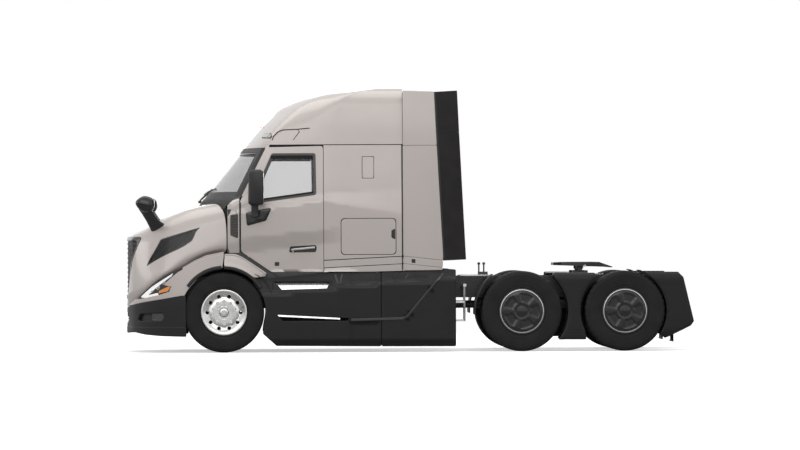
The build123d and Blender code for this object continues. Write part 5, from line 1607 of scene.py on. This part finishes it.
def make_fairings():
    upper_line = np.array(((-2040, 716), (-1658, 751), (-514, 854), (357, 910), (600, 930)))
    band_low = np.array(((-772, 400), (-101, 416), (-20, 470), (470, 1048)))

    def surface(uv):
        x, z = uv.T / MM
        top = np.interp(x, upper_line[:, 0], upper_line[:, 1])
        lean = 30 * smooth_step((z - top) / 60) + 14 * smooth_step((z - top - 40) / 180)
        foot = 26 * smooth_step((170 - z) / 110)
        band = np.interp(x, band_low[:, 0], band_low[:, 1])
        dip = 12 * smooth_step((band - z) / 16) * smooth_step((x + 800) / 40) * (z < top)
        return np.stack((x, -(FAIRING_Y - lean - foot - dip), z), 1) * MM
    arc = arc_points(FRONT, 546, -20, 50, 15)
    front = [(-1895, 245), (-1725, 89), (-383, 78), (-383, 1029), (-966, 1023), (-2036, 941),
             *arc[::-1][1:-1], (-1888, 319)]
    step_1 = ((-1760, 912), (-1024, 910), (-1070, 822), (-1658, 806))
    step_2 = ((-1732, 496), (-896, 450), (-770, 444), (-812, 398), (-1650, 398))
    holes = [rounded(metres(step_1), 0.012), rounded(metres(step_2), 0.012)]
    front_panel = skin(rounded(metres(front), 0.01), surface, 0.055, holes, roll=0.008, depth=0.02)
    rear = [(-362, 78), (586, 75), (586, 1056), (436, 1067), (428, 1036), (-362, 1029)]
    rear_panel = skin(rounded(metres(rear), 0.012), surface, 0.055, roll=0.008, depth=0.02)
    piece("fairing_skins", both(join(front_panel, rear_panel)), "fairing",
          replaces=["chassis_fairings"], angle=40)
    lids = []
    for x0, x1, z0, z1 in ((-772, -443, 874, 1014), (-217, 60, 912, 1024)):
        lid = rounded(metres([(x0, z0), (x1, z0 + 14), (x1, z1), (x0, z1 - 8)]), 0.02)
        lids.append(skin(lid, surface, 0.05, roll=0.005, depth=0.012, lift=0.005))
    # The ridges stand out of the fairing and take the lighter black: a painted highlight along them.
    ridge_line = np.array(((-760, 416), (-120, 431), (-70, 440), (-30, 462), (430, 1010)))
    along = np.gradient(ridge_line, axis=0)
    along /= np.linalg.norm(along, axis=1, keepdims=True)
    across = np.stack((-along[:, 1], along[:, 0]), 1) * 11
    ridge = np.vstack((ridge_line + across, (ridge_line - across)[::-1]))
    ridges = [skin(rounded(metres(ridge), 0.006), surface, 0.05, roll=0.006, depth=0.02,
                   lift=0.005)]
    for a, b in (((-966, 1003), (-930, 880)), ((-880, 1006), (-900, 884)),
                 ((-20, 1008), (-75, 930))):
        edge = np.array((a, b), float)
        side = np.array((9, 3))
        ridges.append(skin(metres(np.vstack((edge + side, (edge - side)[::-1]))), surface, 0.05,
                           roll=0.004, depth=0.012, lift=0.005))
    piece("fairing_ridges", both(join(*ridges)), "fairing_ridge_highlight")
    # A black strip under the gap between the fairing's front and rear panels: painted shade in the
    # seam.
    seam = skin(metres([(-392, 84), (-353, 84), (-353, 1024), (-392, 1024)]), surface, 0.08,
                roll=0.001, depth=0.004, lift=-0.014)
    piece("fairing_seam_shade_strips", both(seam), "seal_and_gap_shade")
    clip = [block((-581, -434), (-1160, -1100), (1032, 1056)),
            block((-570, -552), (-1150, -1110), (1018, 1034)),
            block((-463, -445), (-1150, -1110), (1018, 1034))]
    piece("fairing_lids", both(join(*lids)), "fairing")
    piece("fairing_clips", both(join(*clip)), "grained", bevel=0.003)
    backs, plates, bars = [], [], []
    for opening, inner in ((step_1, -1060), (step_2, -1055)):
        (x0, z0), (x1, z1) = np.min(opening, 0), np.max(opening, 0)
        backs.append(block((x0 - 20, x1 + 20), (inner - 4, inner + 6), (z0 - 10, z1 + 14)))
        backs.append(block((x0 - 20, x1 + 20), (-1176, inner), (z1 + 6, z1 + 14)))
        for x in (x0 - 16, x1 + 8):
            backs.append(block((x, x + 8), (-1176, inner), (z0 - 6, z1 + 8)))
    piece("step_recesses", both(join(*backs)), "liner", bevel=0.002)
    quad = np.array([(-1655, 810), (-1074, 826), (-1034, 905), (-1748, 908)])

    def step_depth(z):
        return -1188 + (z - 806) * 0.62
    rows = []
    for t in np.linspace(0, 1, 12):
        left, right = (a * (1 - t) + b * t for a, b in ((quad[0], quad[3]), (quad[1], quad[2])))
        rows.append([(x, step_depth(z), z) for x, z in np.linspace(left, right, 40)])
    plates.append(shell(np.array(rows).transpose(1, 0, 2), 6))
    for k in range(1, 36):
        for row in range(1, 5):
            t, s = row / 5, (k + 0.5 * (row % 2)) / 36
            x, z = ((quad[0] * (1 - t) + quad[3] * t) * (1 - s)
                    + (quad[1] * (1 - t) + quad[2] * t) * s)
            turn = 9 if (k + row) % 2 else -9
            bars.append(tube([(x - turn, step_depth(z - 6) - 1, z - 6),
                              (x + turn, step_depth(z + 6) - 1, z + 6)], 2.6, 6))
    x0, x1 = -1722, -907
    rows = []
    for x in np.linspace(x0, x1, 40):
        z = np.interp(x, (x0, x1), (492, 450))
        rows.append([(x, -1194, z - 27), (x, -1190, z - 3), (x, -1060, z + 1)])
    plates.append(shell(rows, 5))
    for k in range(2, 39):
        x = x0 + (x1 - x0) * k / 40
        z = np.interp(x, (x0, x1), (492, 450))
        for row in range(4):
            turn = 8 if (k + row) % 2 else -8
            y = -1172 + row * 30
            bars.append(tube([(x - turn, y - 8, z), (x + turn, y + 8, z)], 2.6, 6))
    piece("step_plates", both(join(*plates, *bars)), "tread", replaces=["step_treads"], angle=40)


# ---------------------------------------------------------------- extenders and flaps
def make_extenders():
    def surface(uv):
        x, z = uv.T / MM
        bow = 10 * np.sin(np.clip((x + 82) / 510, 0, 1) * math.pi)
        return np.stack((x, -(1157 + (x + 82) / 510 * 42 + bow), z), 1) * MM
    upper = [(-82, 2674), (347, 2674), (315, 3357), (-82, 3372)]
    lower = [(-82, 1243), (420, 1187), (423, 1240), (348, 2660), (-82, 2660)]
    middle = [(-82, 1146), (418, 1093), (420, 1173), (-82, 1229)]
    foot = [(-82, 1056), (414, 1060), (418, 1079), (-82, 1132)]
    panels = [skin(rounded(metres(p), 0.008), surface, 0.07, roll=0.006, depth=0.012)
              for p in (upper, lower, middle, foot)]
    inner = [(-80, 1050), (412, 1054), (420, 1230), (313, 3352), (-80, 3366)]
    backing = skin(metres(inner), surface, 0.09, roll=0.001, depth=0.008, lift=-0.005)
    keypad = skin(rounded(metres([(24, 1198), (70, 1196), (70, 1150), (24, 1152)]), 0.008), surface,
                  0.05, roll=0.002, depth=0.012, lift=0.003)
    heights = np.linspace(1062, 3352, 50)
    closing_line = [(1150, z) for z in heights]
    closing_line += [(cab_half_width(z) - 24, z) for z in heights[::-1]]

    def across(uv):
        return np.stack((np.full(len(uv), -84.0 * MM), -uv[:, 0], uv[:, 1]), 1)
    closing = skin(metres(closing_line), across, 0.09, roll=0.001, depth=0.006)
    ribs = []
    for z in range(1300, 3300, 330):
        rear = 320 - (z - 1237) * 0.05
        ribs.append(tube([(-70, -1128, z), (120, -1138, z), (rear, -1156, z)], 9, 8))
    piece("extender_skins", both(join(*panels)), "paint", replaces=["cab_extenders"])
    piece("extender_backs", both(join(backing, closing, keypad, *ribs)), "grained")

    def sheet(uv):
        x, z = uv.T / MM
        start = np.interp(z, (1175, 3359), (425, 317))
        curl = 16 * np.sin(z / 380) * smooth_step((x - start) / 280)
        return np.stack((x, -(1193 + curl * 0.35), z), 1) * MM
    top = [(319, 3356), (616, 3372), (641, 2836), (345, 2828)]
    bottom = [(345, 2824), (641, 2832), (724, 1192), (426, 1178)]
    flaps = [skin(metres(p), sheet, 0.06, roll=0.002, depth=0.006) for p in (top, bottom)]
    rail = [(x, -1190, z) for x, z in ((333, 3356), (438, 1250), (436, 1182))]
    studs = [(np.interp(z, (1250, 3356), (446, 341)), -1196, z) for z in range(1290, 3340, 145)]
    piece("extender_flap_sheets", both(join(*flaps)), "flap", replaces=["extender_flaps"])
    piece("extender_flap_rails", both(join(tube(rail, (6, 14), 8),
                                           bolts(studs, LEFT, 7, 5, 12))), "grained")


# ---------------------------------------------------------------- mirrors
def make_door_mirrors():
    outline = rounded([(-2086, 1935), (-2080, 2330), (-2050, 2360), (-1925, 2361), (-1890, 2330),
                       (-1888, 1920), (-1915, 1904), (-2060, 1904)], 28, 6)
    rings = []
    for y, size, shift in ((-1222, 0.90, 6), (-1236, 0.98, 2), (-1290, 1.0, 0), (-1380, 1.0, 0),
                           (-1425, 0.96, 4), (-1441, 0.86, 10)):
        middle = np.array((-1975, 2132))
        ring = middle + (outline - middle) * size + (shift, 0)
        rings.append([(x, y, z) for x, z in ring])
    head = stacked(rings)
    split_line = tube([(-2083, -1240, 2020), (-2085, -1330, 2020), (-2081, -1420, 2020)], 3, 6)
    arm = stacked([[(-2004 + 50 * s * math.cos(a), y, z + 24 * s * math.sin(a))
                    for a in all_round(24)]
                   for y, z, s in ((-1150, 1768, 1.15), (-1240, 1772, 1.0), (-1320, 1772, 1.0),
                                   (-1342, 1772, 0.9))])
    post = stacked([[(-2000 + 46 * s * math.cos(a), -1312 + 26 * s * math.sin(a), z)
                     for a in all_round(24)]
                    for z, s in ((1750, 0.9), (1800, 1.0), (1880, 1.0), (1912, 1.2))])
    base = cab_panel([(-2112, 1800), (-1790, 1864), (-1862, 1708), (-2098, 1644)], radius=18,
                     lift=0.012, depth=0.022, roll=0.008)
    upper = rounded([(-1414, 2075), (-1250, 2075), (-1250, 2320), (-1414, 2320)], 20, 6)
    lower = rounded([(-1414, 1950), (-1250, 1950), (-1250, 2055), (-1414, 2055)], 18, 6)
    plane = ((-1893 * MM, 0, 0), (0, 1, 0), (0, 0, 1))
    faces = [prism(metres(p), plane, 0.008) for p in (upper, lower)]
    for side, turn in SIDES:
        body = f"door_{side}"
        piece(f"mirror_housing_{side}", turn(join(head, arm, post)), "grained", body,
              replaces=[f"door_mirror_{side}"], angle=50)
        piece(f"mirror_base_{side}", turn(join(base, split_line)), "gloss_black", body)
        piece(f"mirror_glass_{side}", turn(join(*faces)), "mirror", body)


# ---------------------------------------------------------------- wheels
STEER_Y, DRIVE_OUTER_Y, DRIVE_INNER_Y = -1035, -1082, -747
STEER_TYRE, DRIVE_TYRE = 290, 275          # tyre widths
TYRE_SEGMENTS = 168
STUD_CIRCLE = 142.9


def tyre(x, y, width):
    """A tyre with a ribbed sidewall and a grooved tread."""
    half = width / 2
    wall = [(297, 118), (303, 124), (312, 127), (318, 124.5), (336, half - 10), (341, half - 7.5),
            (347, half - 8), (380, half - 2), (430, half), (462, half - 1.5), (466, half + 0.6),
            (471, half - 2), (488, half - 5), (500, half - 9), (506, half - 15)]
    tread = [(516, half - 26), (518.2, half - 40)]
    for c in (0.52, 0.2):
        centre = c * half
        tread += [(518.8, centre + 8), (504, centre + 6), (504, centre - 6), (518.9, centre - 8)]
    front = wall + tread
    profile = front + [(r, -a) for r, a in reversed(front)]
    inner = [(300, -105), (345, -half + 22), (430, -half + 16), (490, -half + 30), (498, 0),
             (490, half - 30), (430, half - 16), (345, half - 22), (300, 105)]
    profile += inner
    segments = TYRE_SEGMENTS
    v, f, n = lathe(profile, (x, y, AXLE_Z), (0, 1, 0), segments)
    v = v.reshape(segments, len(profile), 3)
    centre = np.array((x, y, AXLE_Z)) * MM
    ray = v - centre
    ray[:, :, 1] = 0
    radius = np.linalg.norm(ray, axis=2) / MM
    offset = np.abs(v[:, :, 1] - centre[1]) / MM
    k = np.arange(segments)[:, None]
    notch = ((k % 4) == 0) & (radius > 500) & (offset > 0.62 * half)
    shrink = np.where(notch, (radius - 9) / np.maximum(radius, 1), 1.0)
    v = centre + np.stack((ray[:, :, 0] * shrink, v[:, :, 1] - centre[1], ray[:, :, 2] * shrink), 2)
    return v.reshape(-1, 3), f, n


def ring_surface(x, y, profile):
    """A turned wheel face as a surface of side-view offsets."""
    radii, depth = zip(*profile)

    def surface(uv):
        r = np.linalg.norm(uv, axis=1) / MM
        out = monotone(radii, depth, r)
        return np.stack((uv[:, 0] + x * MM, (y - out) * MM, uv[:, 1] + AXLE_Z * MM), 1)
    return surface


def turned(profile, x, y, segments):
    """A turned part of a wheel, its profile given outwards."""
    return lathe(profile, (x, y, AXLE_Z), LEFT, segments)


def rim_ring(x, y, bore=272):
    return lathe([(bore, -132), (282, -134), (294, -132), (296, -126), (295, -120), (286, -114),
                  (285, -100), (285, 100), (286, 114), (295, 120), (296, 126), (294, 132),
                  (282, 134), (bore, 132)], (x, y, AXLE_Z), (0, 1, 0), 128)


def make_front_wheels():
    y = STEER_Y
    turns = [2 * math.pi * k / 10 for k in range(10)]
    holes = [circle(0.027, 28, polar(0.216, a)) for a in turns]
    face = skin(circle(0.2735, 120), ring_surface(FRONT, y, (
        (0, 119), (80, 119), (158, 119), (176, 115), (206, 95), (240, 74), (258, 67), (276, 64))),
        0.018, [*holes, circle(0.08, 48)], roll=0.003, depth=0.014)
    hub = turned([(0, 138), (26, 138), (30, 134), (44, 134), (52, 130), (58, 120), (62, 96),
                 (64, 60), (0, 60)][::-1], FRONT, y, 64)
    flange = turned([(60, 60), (84, 60), (84, 121), (80, 124), (60, 124)][::-1], FRONT, y, 72)
    nuts, studs = [], []
    for a in turns:
        dx, dz = polar(STUD_CIRCLE, a + math.pi / 10)
        at = (FRONT + dx, y - 118, AXLE_Z + dz)
        nuts.append(lathe([(0, 0), (24, 0), (24, 4), (0, 4)], at, LEFT, 28))
        nuts.append(bolts([(at[0], at[1] - 3, at[2])], LEFT, 18, 24))
        studs.append(lathe([(0, 0), (9, 0), (9, 34), (7, 37), (0, 37)], at, LEFT, 16))
    cap_bolts = [(x, y - 133, z) for x, z in circle(49, 6, (FRONT, AXLE_Z))]
    valve = tube([(FRONT + 236, y - 72, AXLE_Z + 62), (FRONT + 250, y - 96, AXLE_Z + 66)], 5, 10)
    drum = turned([(70, -60), (205, -60), (205, 40), (190, 46), (70, 46)], FRONT, y, 64)
    metal = join(face, rim_ring(FRONT, y), hub, flange, *nuts, *studs,
                 bolts(cap_bolts, LEFT, 5, 4))
    for side, turn in SIDES:
        body = f"steer_wheel_{side}"
        piece(f"front_rim_{side}", turn(metal), "polished", body, replaces=[body], angle=28)
        piece(f"front_drum_{side}", turn(join(drum, valve)), "dark_steel", body)
        piece(f"front_tyre_{side}", turn(tyre(FRONT, y, STEER_TYRE)), "tyre", body,
              replaces=[f"steer_tyre_{side}"], angle=24)


def cover_surface(x, y):
    """A black wheel cover with five shallow fields."""
    def surface(uv):
        r = np.linalg.norm(uv, axis=1) / MM
        a = np.arctan2(uv[:, 1], uv[:, 0])
        out = 127 + 7 * smooth_step((262 - r) / 40) - 3 * smooth_step((100 - r) / 12)
        spoke = smooth_step((np.cos(5 * a) + 0.62) / 0.35)
        field = smooth_step((r - 112) / 14) * smooth_step((236 - r) / 14)
        out = out - 9 * spoke * field
        return np.stack((uv[:, 0] + x * MM, (y - out) * MM, uv[:, 1] + AXLE_Z * MM), 1)
    return surface


def make_drive_wheels():
    outer_y, inner_y = DRIVE_OUTER_Y, DRIVE_INNER_Y
    for row, x in (("front", DRIVE_1), ("rear", DRIVE_2)):
        cover = skin(circle(0.270, 140), cover_surface(x, outer_y), 0.012, roll=0.004, depth=0.006)
        cap = turned([(0, 128), (66, 128), (72, 133), (70, 138), (50, 141), (0, 142)][::-1],
                     x, outer_y, 64)
        clips = bolts([(clip_x, outer_y - 132, clip_z)
                       for clip_x, clip_z in circle(247, 5, (x, AXLE_Z), 0.3)], LEFT, 8, 4, 12)
        bright = turned([(270, 120), (280, 120), (286, 126), (284, 133), (273, 134),
                         (270, 130)][::-1], x, outer_y, 120)
        hub = turned([(64, -200), (110, -200), (110, 60), (64, 60)], x, inner_y, 48)
        disc = turned([(110, 150), (178, 150), (268, 100), (284, 96), (284, 112), (268, 118),
                      (182, 168), (110, 168)], x, inner_y, 96)
        back_disc = turned([(110, -40), (180, -40), (270, 10), (284, 14), (284, 30), (268, 26),
                           (176, -22), (110, -22)][::-1], x, inner_y, 96)
        for side, turn in SIDES:
            body = f"drive_wheels_{row}_{side}"
            piece(f"drive_cover_{row}_{side}", turn(join(cover, cap, clips)), "gloss_black", body,
                  replaces=[body], angle=30)
            piece(f"drive_ring_{row}_{side}", turn(bright), "polished", body)
            piece(f"drive_rims_{row}_{side}", turn(join(rim_ring(x, outer_y, 276),
                                                        rim_ring(x, inner_y, 276), hub, disc,
                                                        back_disc)), "dark_steel", body)
            piece(f"drive_tyres_{row}_{side}_shown",
                  turn(join(tyre(x, outer_y, DRIVE_TYRE), tyre(x, inner_y, DRIVE_TYRE))), "tyre", body,
                  replaces=[f"drive_tyres_{row}_{side}"], angle=24)


# ---------------------------------------------------------------- fenders behind the cab
FENDER_Y = 1211.0


FENDER_TOP = 1020.0


def fender_side(y, lean=0.0):
    """A fender's outer face: its top edge, and with lean its foot, fall away inwards."""
    def surface(uv):
        z = uv[:, 1] / MM
        drop = 24 * smooth_step((z - FENDER_TOP + 70) / 70) ** 2 + lean * smooth_step((260 - z) / 120)
        return np.stack((uv[:, 0], -(y - drop) * MM, uv[:, 1]), 1)
    return surface


LINER_BUMP = 3.0


def arc_liner(x, radius, start, end, y_from, y_to):
    """A wheel arch's inner skin, slightly uneven."""
    rows = []
    count = int(abs(end - start) * 1.2)
    for k, a in enumerate(np.radians(np.linspace(start, end, count))):
        row = []
        for m, y in enumerate(np.linspace(y_from, y_to, 24)):
            r = radius + LINER_BUMP * (math.sin(k * 1.9) * math.sin(m * 1.7)
                                       + 0.5 * math.sin(k * 0.9 + m))
            row.append((x + r * math.cos(a), y, AXLE_Z + r * math.sin(a)))
        rows.append(row)
    return shell(np.array(rows), 9)


def make_fenders():
    quarter_edge = arc_points(DRIVE_1, 612, 128, 184, 24)
    rows = []
    for x, z in quarter_edge:
        d = np.array((x - DRIVE_1, z - AXLE_Z))
        d /= np.linalg.norm(d)
        row = []
        for y in (-1206, -1203, -1180, -1000, -800, -640, -624):
            r = 612 if y < -1190 or y > -630 else 610
            drop = 10 if y in (-1206, -624) else 0
            row.append((DRIVE_1 + d[0] * (r - drop), y, AXLE_Z + d[1] * (r - drop)))
        rows.append(row)
    piece("fender_quarter_skins", both(join(shell(np.array(rows)[::-1], 9),
                                            tube([(1005, -700, 945), (1005, -436, 945)], 20, 12))),
          "grained", replaces=["fender_quarters"])
    mid = [(1868, 1012), (2376, 1009), (2418, 983)]
    mid += arc_points(DRIVE_2, 582, 127.5, 205, 20)
    mid += [(2271, 157), (2006, 158)]
    mid += arc_points(DRIVE_1, 604, -37, 45, 20)
    mid_panel = skin(metres(mid), fender_side(FENDER_Y), 0.05, roll=0.008, depth=0.014)
    flap_ribs = [tube([(2070, -1212, z), (2230, -1212, z)], (3, 5), 8) for z in (215, 250, 285)]
    top_rows = []
    for x in np.linspace(1874, 2412, 24):
        fall = 10 * smooth_step((x - 2340) / 70)
        top_rows.append([(x, y, 1004 - fall + 4 * math.sin(math.pi * (y + 1190) / 560))
                         for y in np.linspace(-1190, -630, 12)])
    liners = [arc_liner(DRIVE_1, 606, -36, 48, -1195, -630),
              arc_liner(DRIVE_2, 584, 130, 204, -1195, -630)]
    tail = [(2967, 1017), (3468, 1015), (3531, 947), (3665, 384), (3627, 330), (3350, 191),
            (3298, 171)]
    tail += arc_points(DRIVE_2, 548, -34, 68, 30)
    tail_panel = skin(rounded(metres(tail), 0.012), fender_side(FENDER_Y, lean=20), 0.05,
                      roll=0.008, depth=0.014)
    edge = chaikin([(2975, 1006), (3460, 1004), (3520, 942), (3652, 386)], 3)
    tail_rows = [[(x, y, z) for y in np.linspace(-1192, -630, 12)] for x, z in edge]
    rim_line = [(x, -1214, z) for x, z in arc_points(DRIVE_2, 560, -30, 66, 40)]
    piece("fender_mid_panels", both(join(mid_panel, shell(top_rows, 10), *flap_ribs)), "fairing",
          replaces=["fender_mids"])
    piece("fender_tail_panels", both(join(tail_panel, shell(tail_rows, 8),
                                          tube(rim_line, (3, 6), 8))),
          "fairing", replaces=["fender_tails"])
    liners.append(arc_liner(DRIVE_2, 552, -33, 70, -1192, -630))
    brackets = [tube([(x, -1180, z), (x, -440, z)], 18, 12)
                for x, z in ((2115, 945), (3250, 835))]
    piece("fender_liners", both(join(*liners, *brackets)), "liner", angle=60)

    def hanging(uv):
        z = uv[:, 1] / MM
        wave = 5 * np.sin(uv[:, 0] * 16) * smooth_step((700 - z) / 500)
        return np.stack(((3401 + wave + (z - 800) * -0.012) * MM, uv[:, 0], uv[:, 1]), 1)
    flap = skin(np.array([(-1180, 116), (-640, 116), (-640, 850), (-1180, 850)]) * MM,
                hanging, 0.05, roll=0.002, depth=0.005)
    hanger = block((3386, 3412), (-1190, -430), (826, 852))
    weights = block((3392, 3410), (-1170, -650), (118, 132))
    piece("mudflap_sheets", both(flap), "flap", replaces=["mudflaps"])
    piece("mudflap_hangers", both(join(hanger, weights,
                                       bolts([(3383, y, 839) for y in range(-1150, -640, 85)],
                                             (-1, 0, 0), 9, 7))), "dark_steel", bevel=0.002)


# ---------------------------------------------------------------- chassis details
TANK_CENTRE, STRAP_RADIUS = (-830, 560), 290
COUPLING_X = 2250.5                # the kingpin's place in the fifth wheel


def make_chassis_details():
    rail_bolts = []
    for x in range(-3000, 3500, 110):
        for z in (745, 900):
            if (x // 110) % 3:
                rail_bolts.append((x, -433, z))
    piece("rail_bolts", both(bolts(rail_bolts, LEFT, 11, 9)), "dark_steel")
    straps = [tube([(x, y, z) for y, z in circle(STRAP_RADIUS, 64, TANK_CENTRE)], (22, 4), 8,
                   closed=True) for x in (-180, 380)]
    piece("tank_straps", both(join(*straps)), "bare_steel")
    handle = tube(spline([(COUPLING_X + 60, -440, 1108), (COUPLING_X + 60, -560, 1104),
                          (COUPLING_X + 50, -640, 1100), (COUPLING_X + 20, -660, 1098)], 6), 9, 10)
    grooves = []
    for y in (-300, -210, 210, 300):
        line = [(COUPLING_X - 200 + 380 * t, y + 22 * math.sin(t * 5), 1148.5)
                for t in np.linspace(0, 1, 24)]
        grooves.append(tube(line, (5, 1.2), 8))
    grooves.append(tube([(COUPLING_X - 60 + 120 * math.cos(a) * 0.9, 150 * math.sin(a), 1148.5)
                         for a in np.linspace(0.9, 2 * math.pi - 0.9, 50)], (5, 1.2), 8))
    piece("fifth_wheel_grease_grooves", join(*grooves), "dark_steel", "fifth_wheel_plate")
    piece("fifth_wheel_handle", handle, "bare_steel", "fifth_wheel_plate")
    base_bolts = [(COUPLING_X + dx, dy, 987) for dx in (-290, -230, 230, 290)
                  for dy in (-400, -350, 350, 400)]
    piece("fifth_wheel_base_bolts", bolts(base_bolts, (0, 0, 1), 14, 14), "bare_steel")
    deck_bars = []
    for x in np.arange(700, 1090, 28):
        for y in np.arange(-400, 401, 34):
            turn = 9 if (int(x / 28) + int(y / 34)) % 2 else -9
            deck_bars.append(tube([(x - 9, y - turn, 985.5), (x + 9, y + turn, 985.5)], 2.4, 6))
    piece("deck_tread", join(*deck_bars), "tread")
    line_xs = (932.5, 997.5)
    couplings = [lathe([(0, 0), (19, 0), (19, 22), (12, 30), (0, 30)], (x, -200, 1120),
                       (0, 0, 1), 20) for x in line_xs]
    couplings += [tube([(x, -200, 1022), (x, -200, 1122)], 10, 16) for x in line_xs]
    couplings.append(block((920, 1048), (-227, -173), (988, 1027)))
    piece("air_line_couplings", join(*couplings), "dark_steel")
    lenses = [lathe([(0, 0), (24, 0), (24, 6), (18, 9), (0, 11)], (3514, y, 850), (1, 0, 0), 28)
              for y in (-540, -480, -420)]
    piece("tail_lamp_lenses", both(join(*lenses)), "red")


# ---------------------------------------------------------------- interior
CUSHION_GRID, CUSHION_POWER = 14, 5.0       # squares along a face; how square the pad's form is


def cushion(name, low, high, lean=0.0, channels=0, node=()):
    """A stuffed pad inside a box: crowned faces, soft corners and sewn channels across."""
    low, high = np.array(low, float), np.array(high, float)
    size, middle = (high - low) / 2, (high + low) / 2
    n = CUSHION_GRID
    verts, faces, index = [], [], {}
    for a, b, c, sign in ((0, 1, 2, 1), (0, 1, 2, -1), (1, 2, 0, 1), (1, 2, 0, -1), (2, 0, 1, 1),
                          (2, 0, 1, -1)):
        rows = []
        for i in range(n + 1):
            row = []
            for j in range(n + 1):
                p = np.zeros(3)
                p[a], p[b], p[c] = 2 * i / n - 1, 2 * j / n - 1, sign
                key = tuple(np.round(p, 6))
                if key not in index:
                    index[key] = len(verts)
                    verts.append(p / np.sum(np.abs(p) ** CUSHION_POWER) ** (1 / CUSHION_POWER))
                row.append(index[key])
            rows.append(row)
        for i in range(n):
            for j in range(n):
                f = (rows[i][j], rows[i + 1][j], rows[i + 1][j + 1], rows[i][j + 1])
                faces.append(f if sign > 0 else f[::-1])
    v = np.array(verts)
    thin = int(np.argmin(size))
    others = [k for k in range(3) if k != thin]
    bulge = (1 - v[:, others[0]] ** 2) * (1 - v[:, others[1]] ** 2)
    v = v * (1 - 0.10 * (1 - bulge)[:, None] * (np.arange(3) == thin))
    if channels:
        across = others[1] if thin == 0 else others[0]
        wave = np.abs(np.sin(v[:, across] * math.pi * channels / 2))
        v[:, thin] *= 1 - 0.05 * (1 - smooth_step(wave / 0.35))
    v = middle + v * size
    v[:, 0] += (v[:, 2] - low[2]) * lean
    obj = piece(name, (v * MM, faces, None), "cloth", smooth=1, angle=180, replaces=node)


def make_interior():
    first = ["seats"]
    for side, y in (("left", -520), ("right", 520)):
        x = FRONT + 820
        cushion(f"seat_cushion_{side}", (x, y - 255, 1482), (x + 490, y + 255, 1612), channels=4,
                node=first)
        first = []
        cushion(f"seat_back_{side}", (x + 368, y - 250, 1600), (x + 500, y + 250, 2225), lean=0.12,
                channels=5)
        cushion(f"seat_headrest_{side}", (x + 475, y - 125, 2235), (x + 560, y + 125, 2395),
                lean=0.1)
        base = join(block((x + 70, x + 430), (y - 170, y + 170), (1150, 1470)),
                    block((x + 40, x + 470), (y - 200, y + 200), (1119, 1152)))
        arm = join(tube(spline([(x + 455, y - 262, 1780), (x + 300, y - 266, 1786),
                                (x + 150, y - 264, 1780)], 6), (24, 20), 14))
        piece(f"seat_base_{side}", join(base, arm), "trim", bevel=0.012)
    cushion("bunk_mattress", (CAB_BACK - 858, -1080, 1500), (CAB_BACK - 64, 1080, 1648), channels=7,
            node=["bunk"])
    base = block((CAB_BACK - 858, CAB_BACK - 62), (-1082, 1082), (1121, 1498))
    fronts = [block((CAB_BACK - 862, CAB_BACK - 856), (y - 330, y + 330), (1180, 1440))
              for y in (-700, 0, 700)]
    piece("bunk_base", join(base, *fronts), "trim", bevel=0.008)
    wheel_centre = np.array((FRONT + 612, -520, 1720))
    tilt = math.radians(40)
    axis = np.array((math.sin(tilt), 0, math.cos(tilt)))
    right = np.array((math.cos(tilt), 0, -math.sin(tilt)))

    def towards(a):
        return right * math.cos(a) + np.array((0, 1, 0)) * math.sin(a)
    ring = [wheel_centre + 215 * towards(a) for a in all_round(64)]
    spokes = [tube([wheel_centre + 50 * towards(a), wheel_centre + 212 * towards(a)], (18, 8), 12)
              for a in np.radians((0, 120, 240))]
    hub = lathe([(0, -20), (62, -20), (62, 12), (44, 22), (0, 24)], wheel_centre, axis, 40)
    column = tube([wheel_centre - axis * 20, wheel_centre - axis * 380], 28, 20)
    piece("steering_wheel_shown", join(tube(ring, 16, 16, closed=True), hub, column, *spokes),
          "trim", replaces=["steering_wheel"])
    screens = join(block((FRONT + 421, FRONT + 432), (-700, -340), (1700, 1840)),
                   block((FRONT + 421, FRONT + 430), (-180, 120), (1660, 1835)))
    piece("dashboard_screens", screens, "gloss_black", bevel=0.004)
    vents = [block((FRONT + 421, FRONT + 427), (y - 70, y + 70), (z, z + 8))
             for y in (-880, 300, 800) for z in range(1700, 1790, 18)]
    piece("dashboard_vents", join(*vents), "grained")


# Solids of the paint slot lie under the painted skins and take the dark cabin trim: the cab's lining
# inside, and painted shade where they show through the gaps between skins.
CAD_FINISH = {"chassis_black": "chassis", "dark_steel": "dark_steel", "bare_steel": "bare_steel",
              "engine_grey": "engine", "tank_aluminium": "tank_metal", "tread_plate": "tread",
              "bright_aluminium": "polished", "red_lens": "red", "champagne_paint": "trim",
              "cabin_plastic": "trim", "black_plastic": "grained", "window_glass": "glass",
              "lamp_lens": "clear_lens", "seat_fabric": "cloth", "tyre_rubber": "tyre",
              "flap_rubber": "flap"}


def finish_cad_nodes():
    """The solids that still show get the finish of their slot."""
    for row in frame["record"]["subparts"]:
        node, slot = row["node"], row["material_slot"]
        mesh = frame["nodes"][node].data
        finish = "worn_plate" if node == "fifth_wheel_plate" else CAD_FINISH[slot]
        mesh.materials.clear()
        mesh.materials.append(MATERIALS[finish])


make_bumper()
make_flares()
make_fairings()
make_extenders()
make_door_mirrors()
make_front_wheels()
make_drive_wheels()
make_fenders()
make_chassis_details()
make_interior()
finish_cad_nodes()
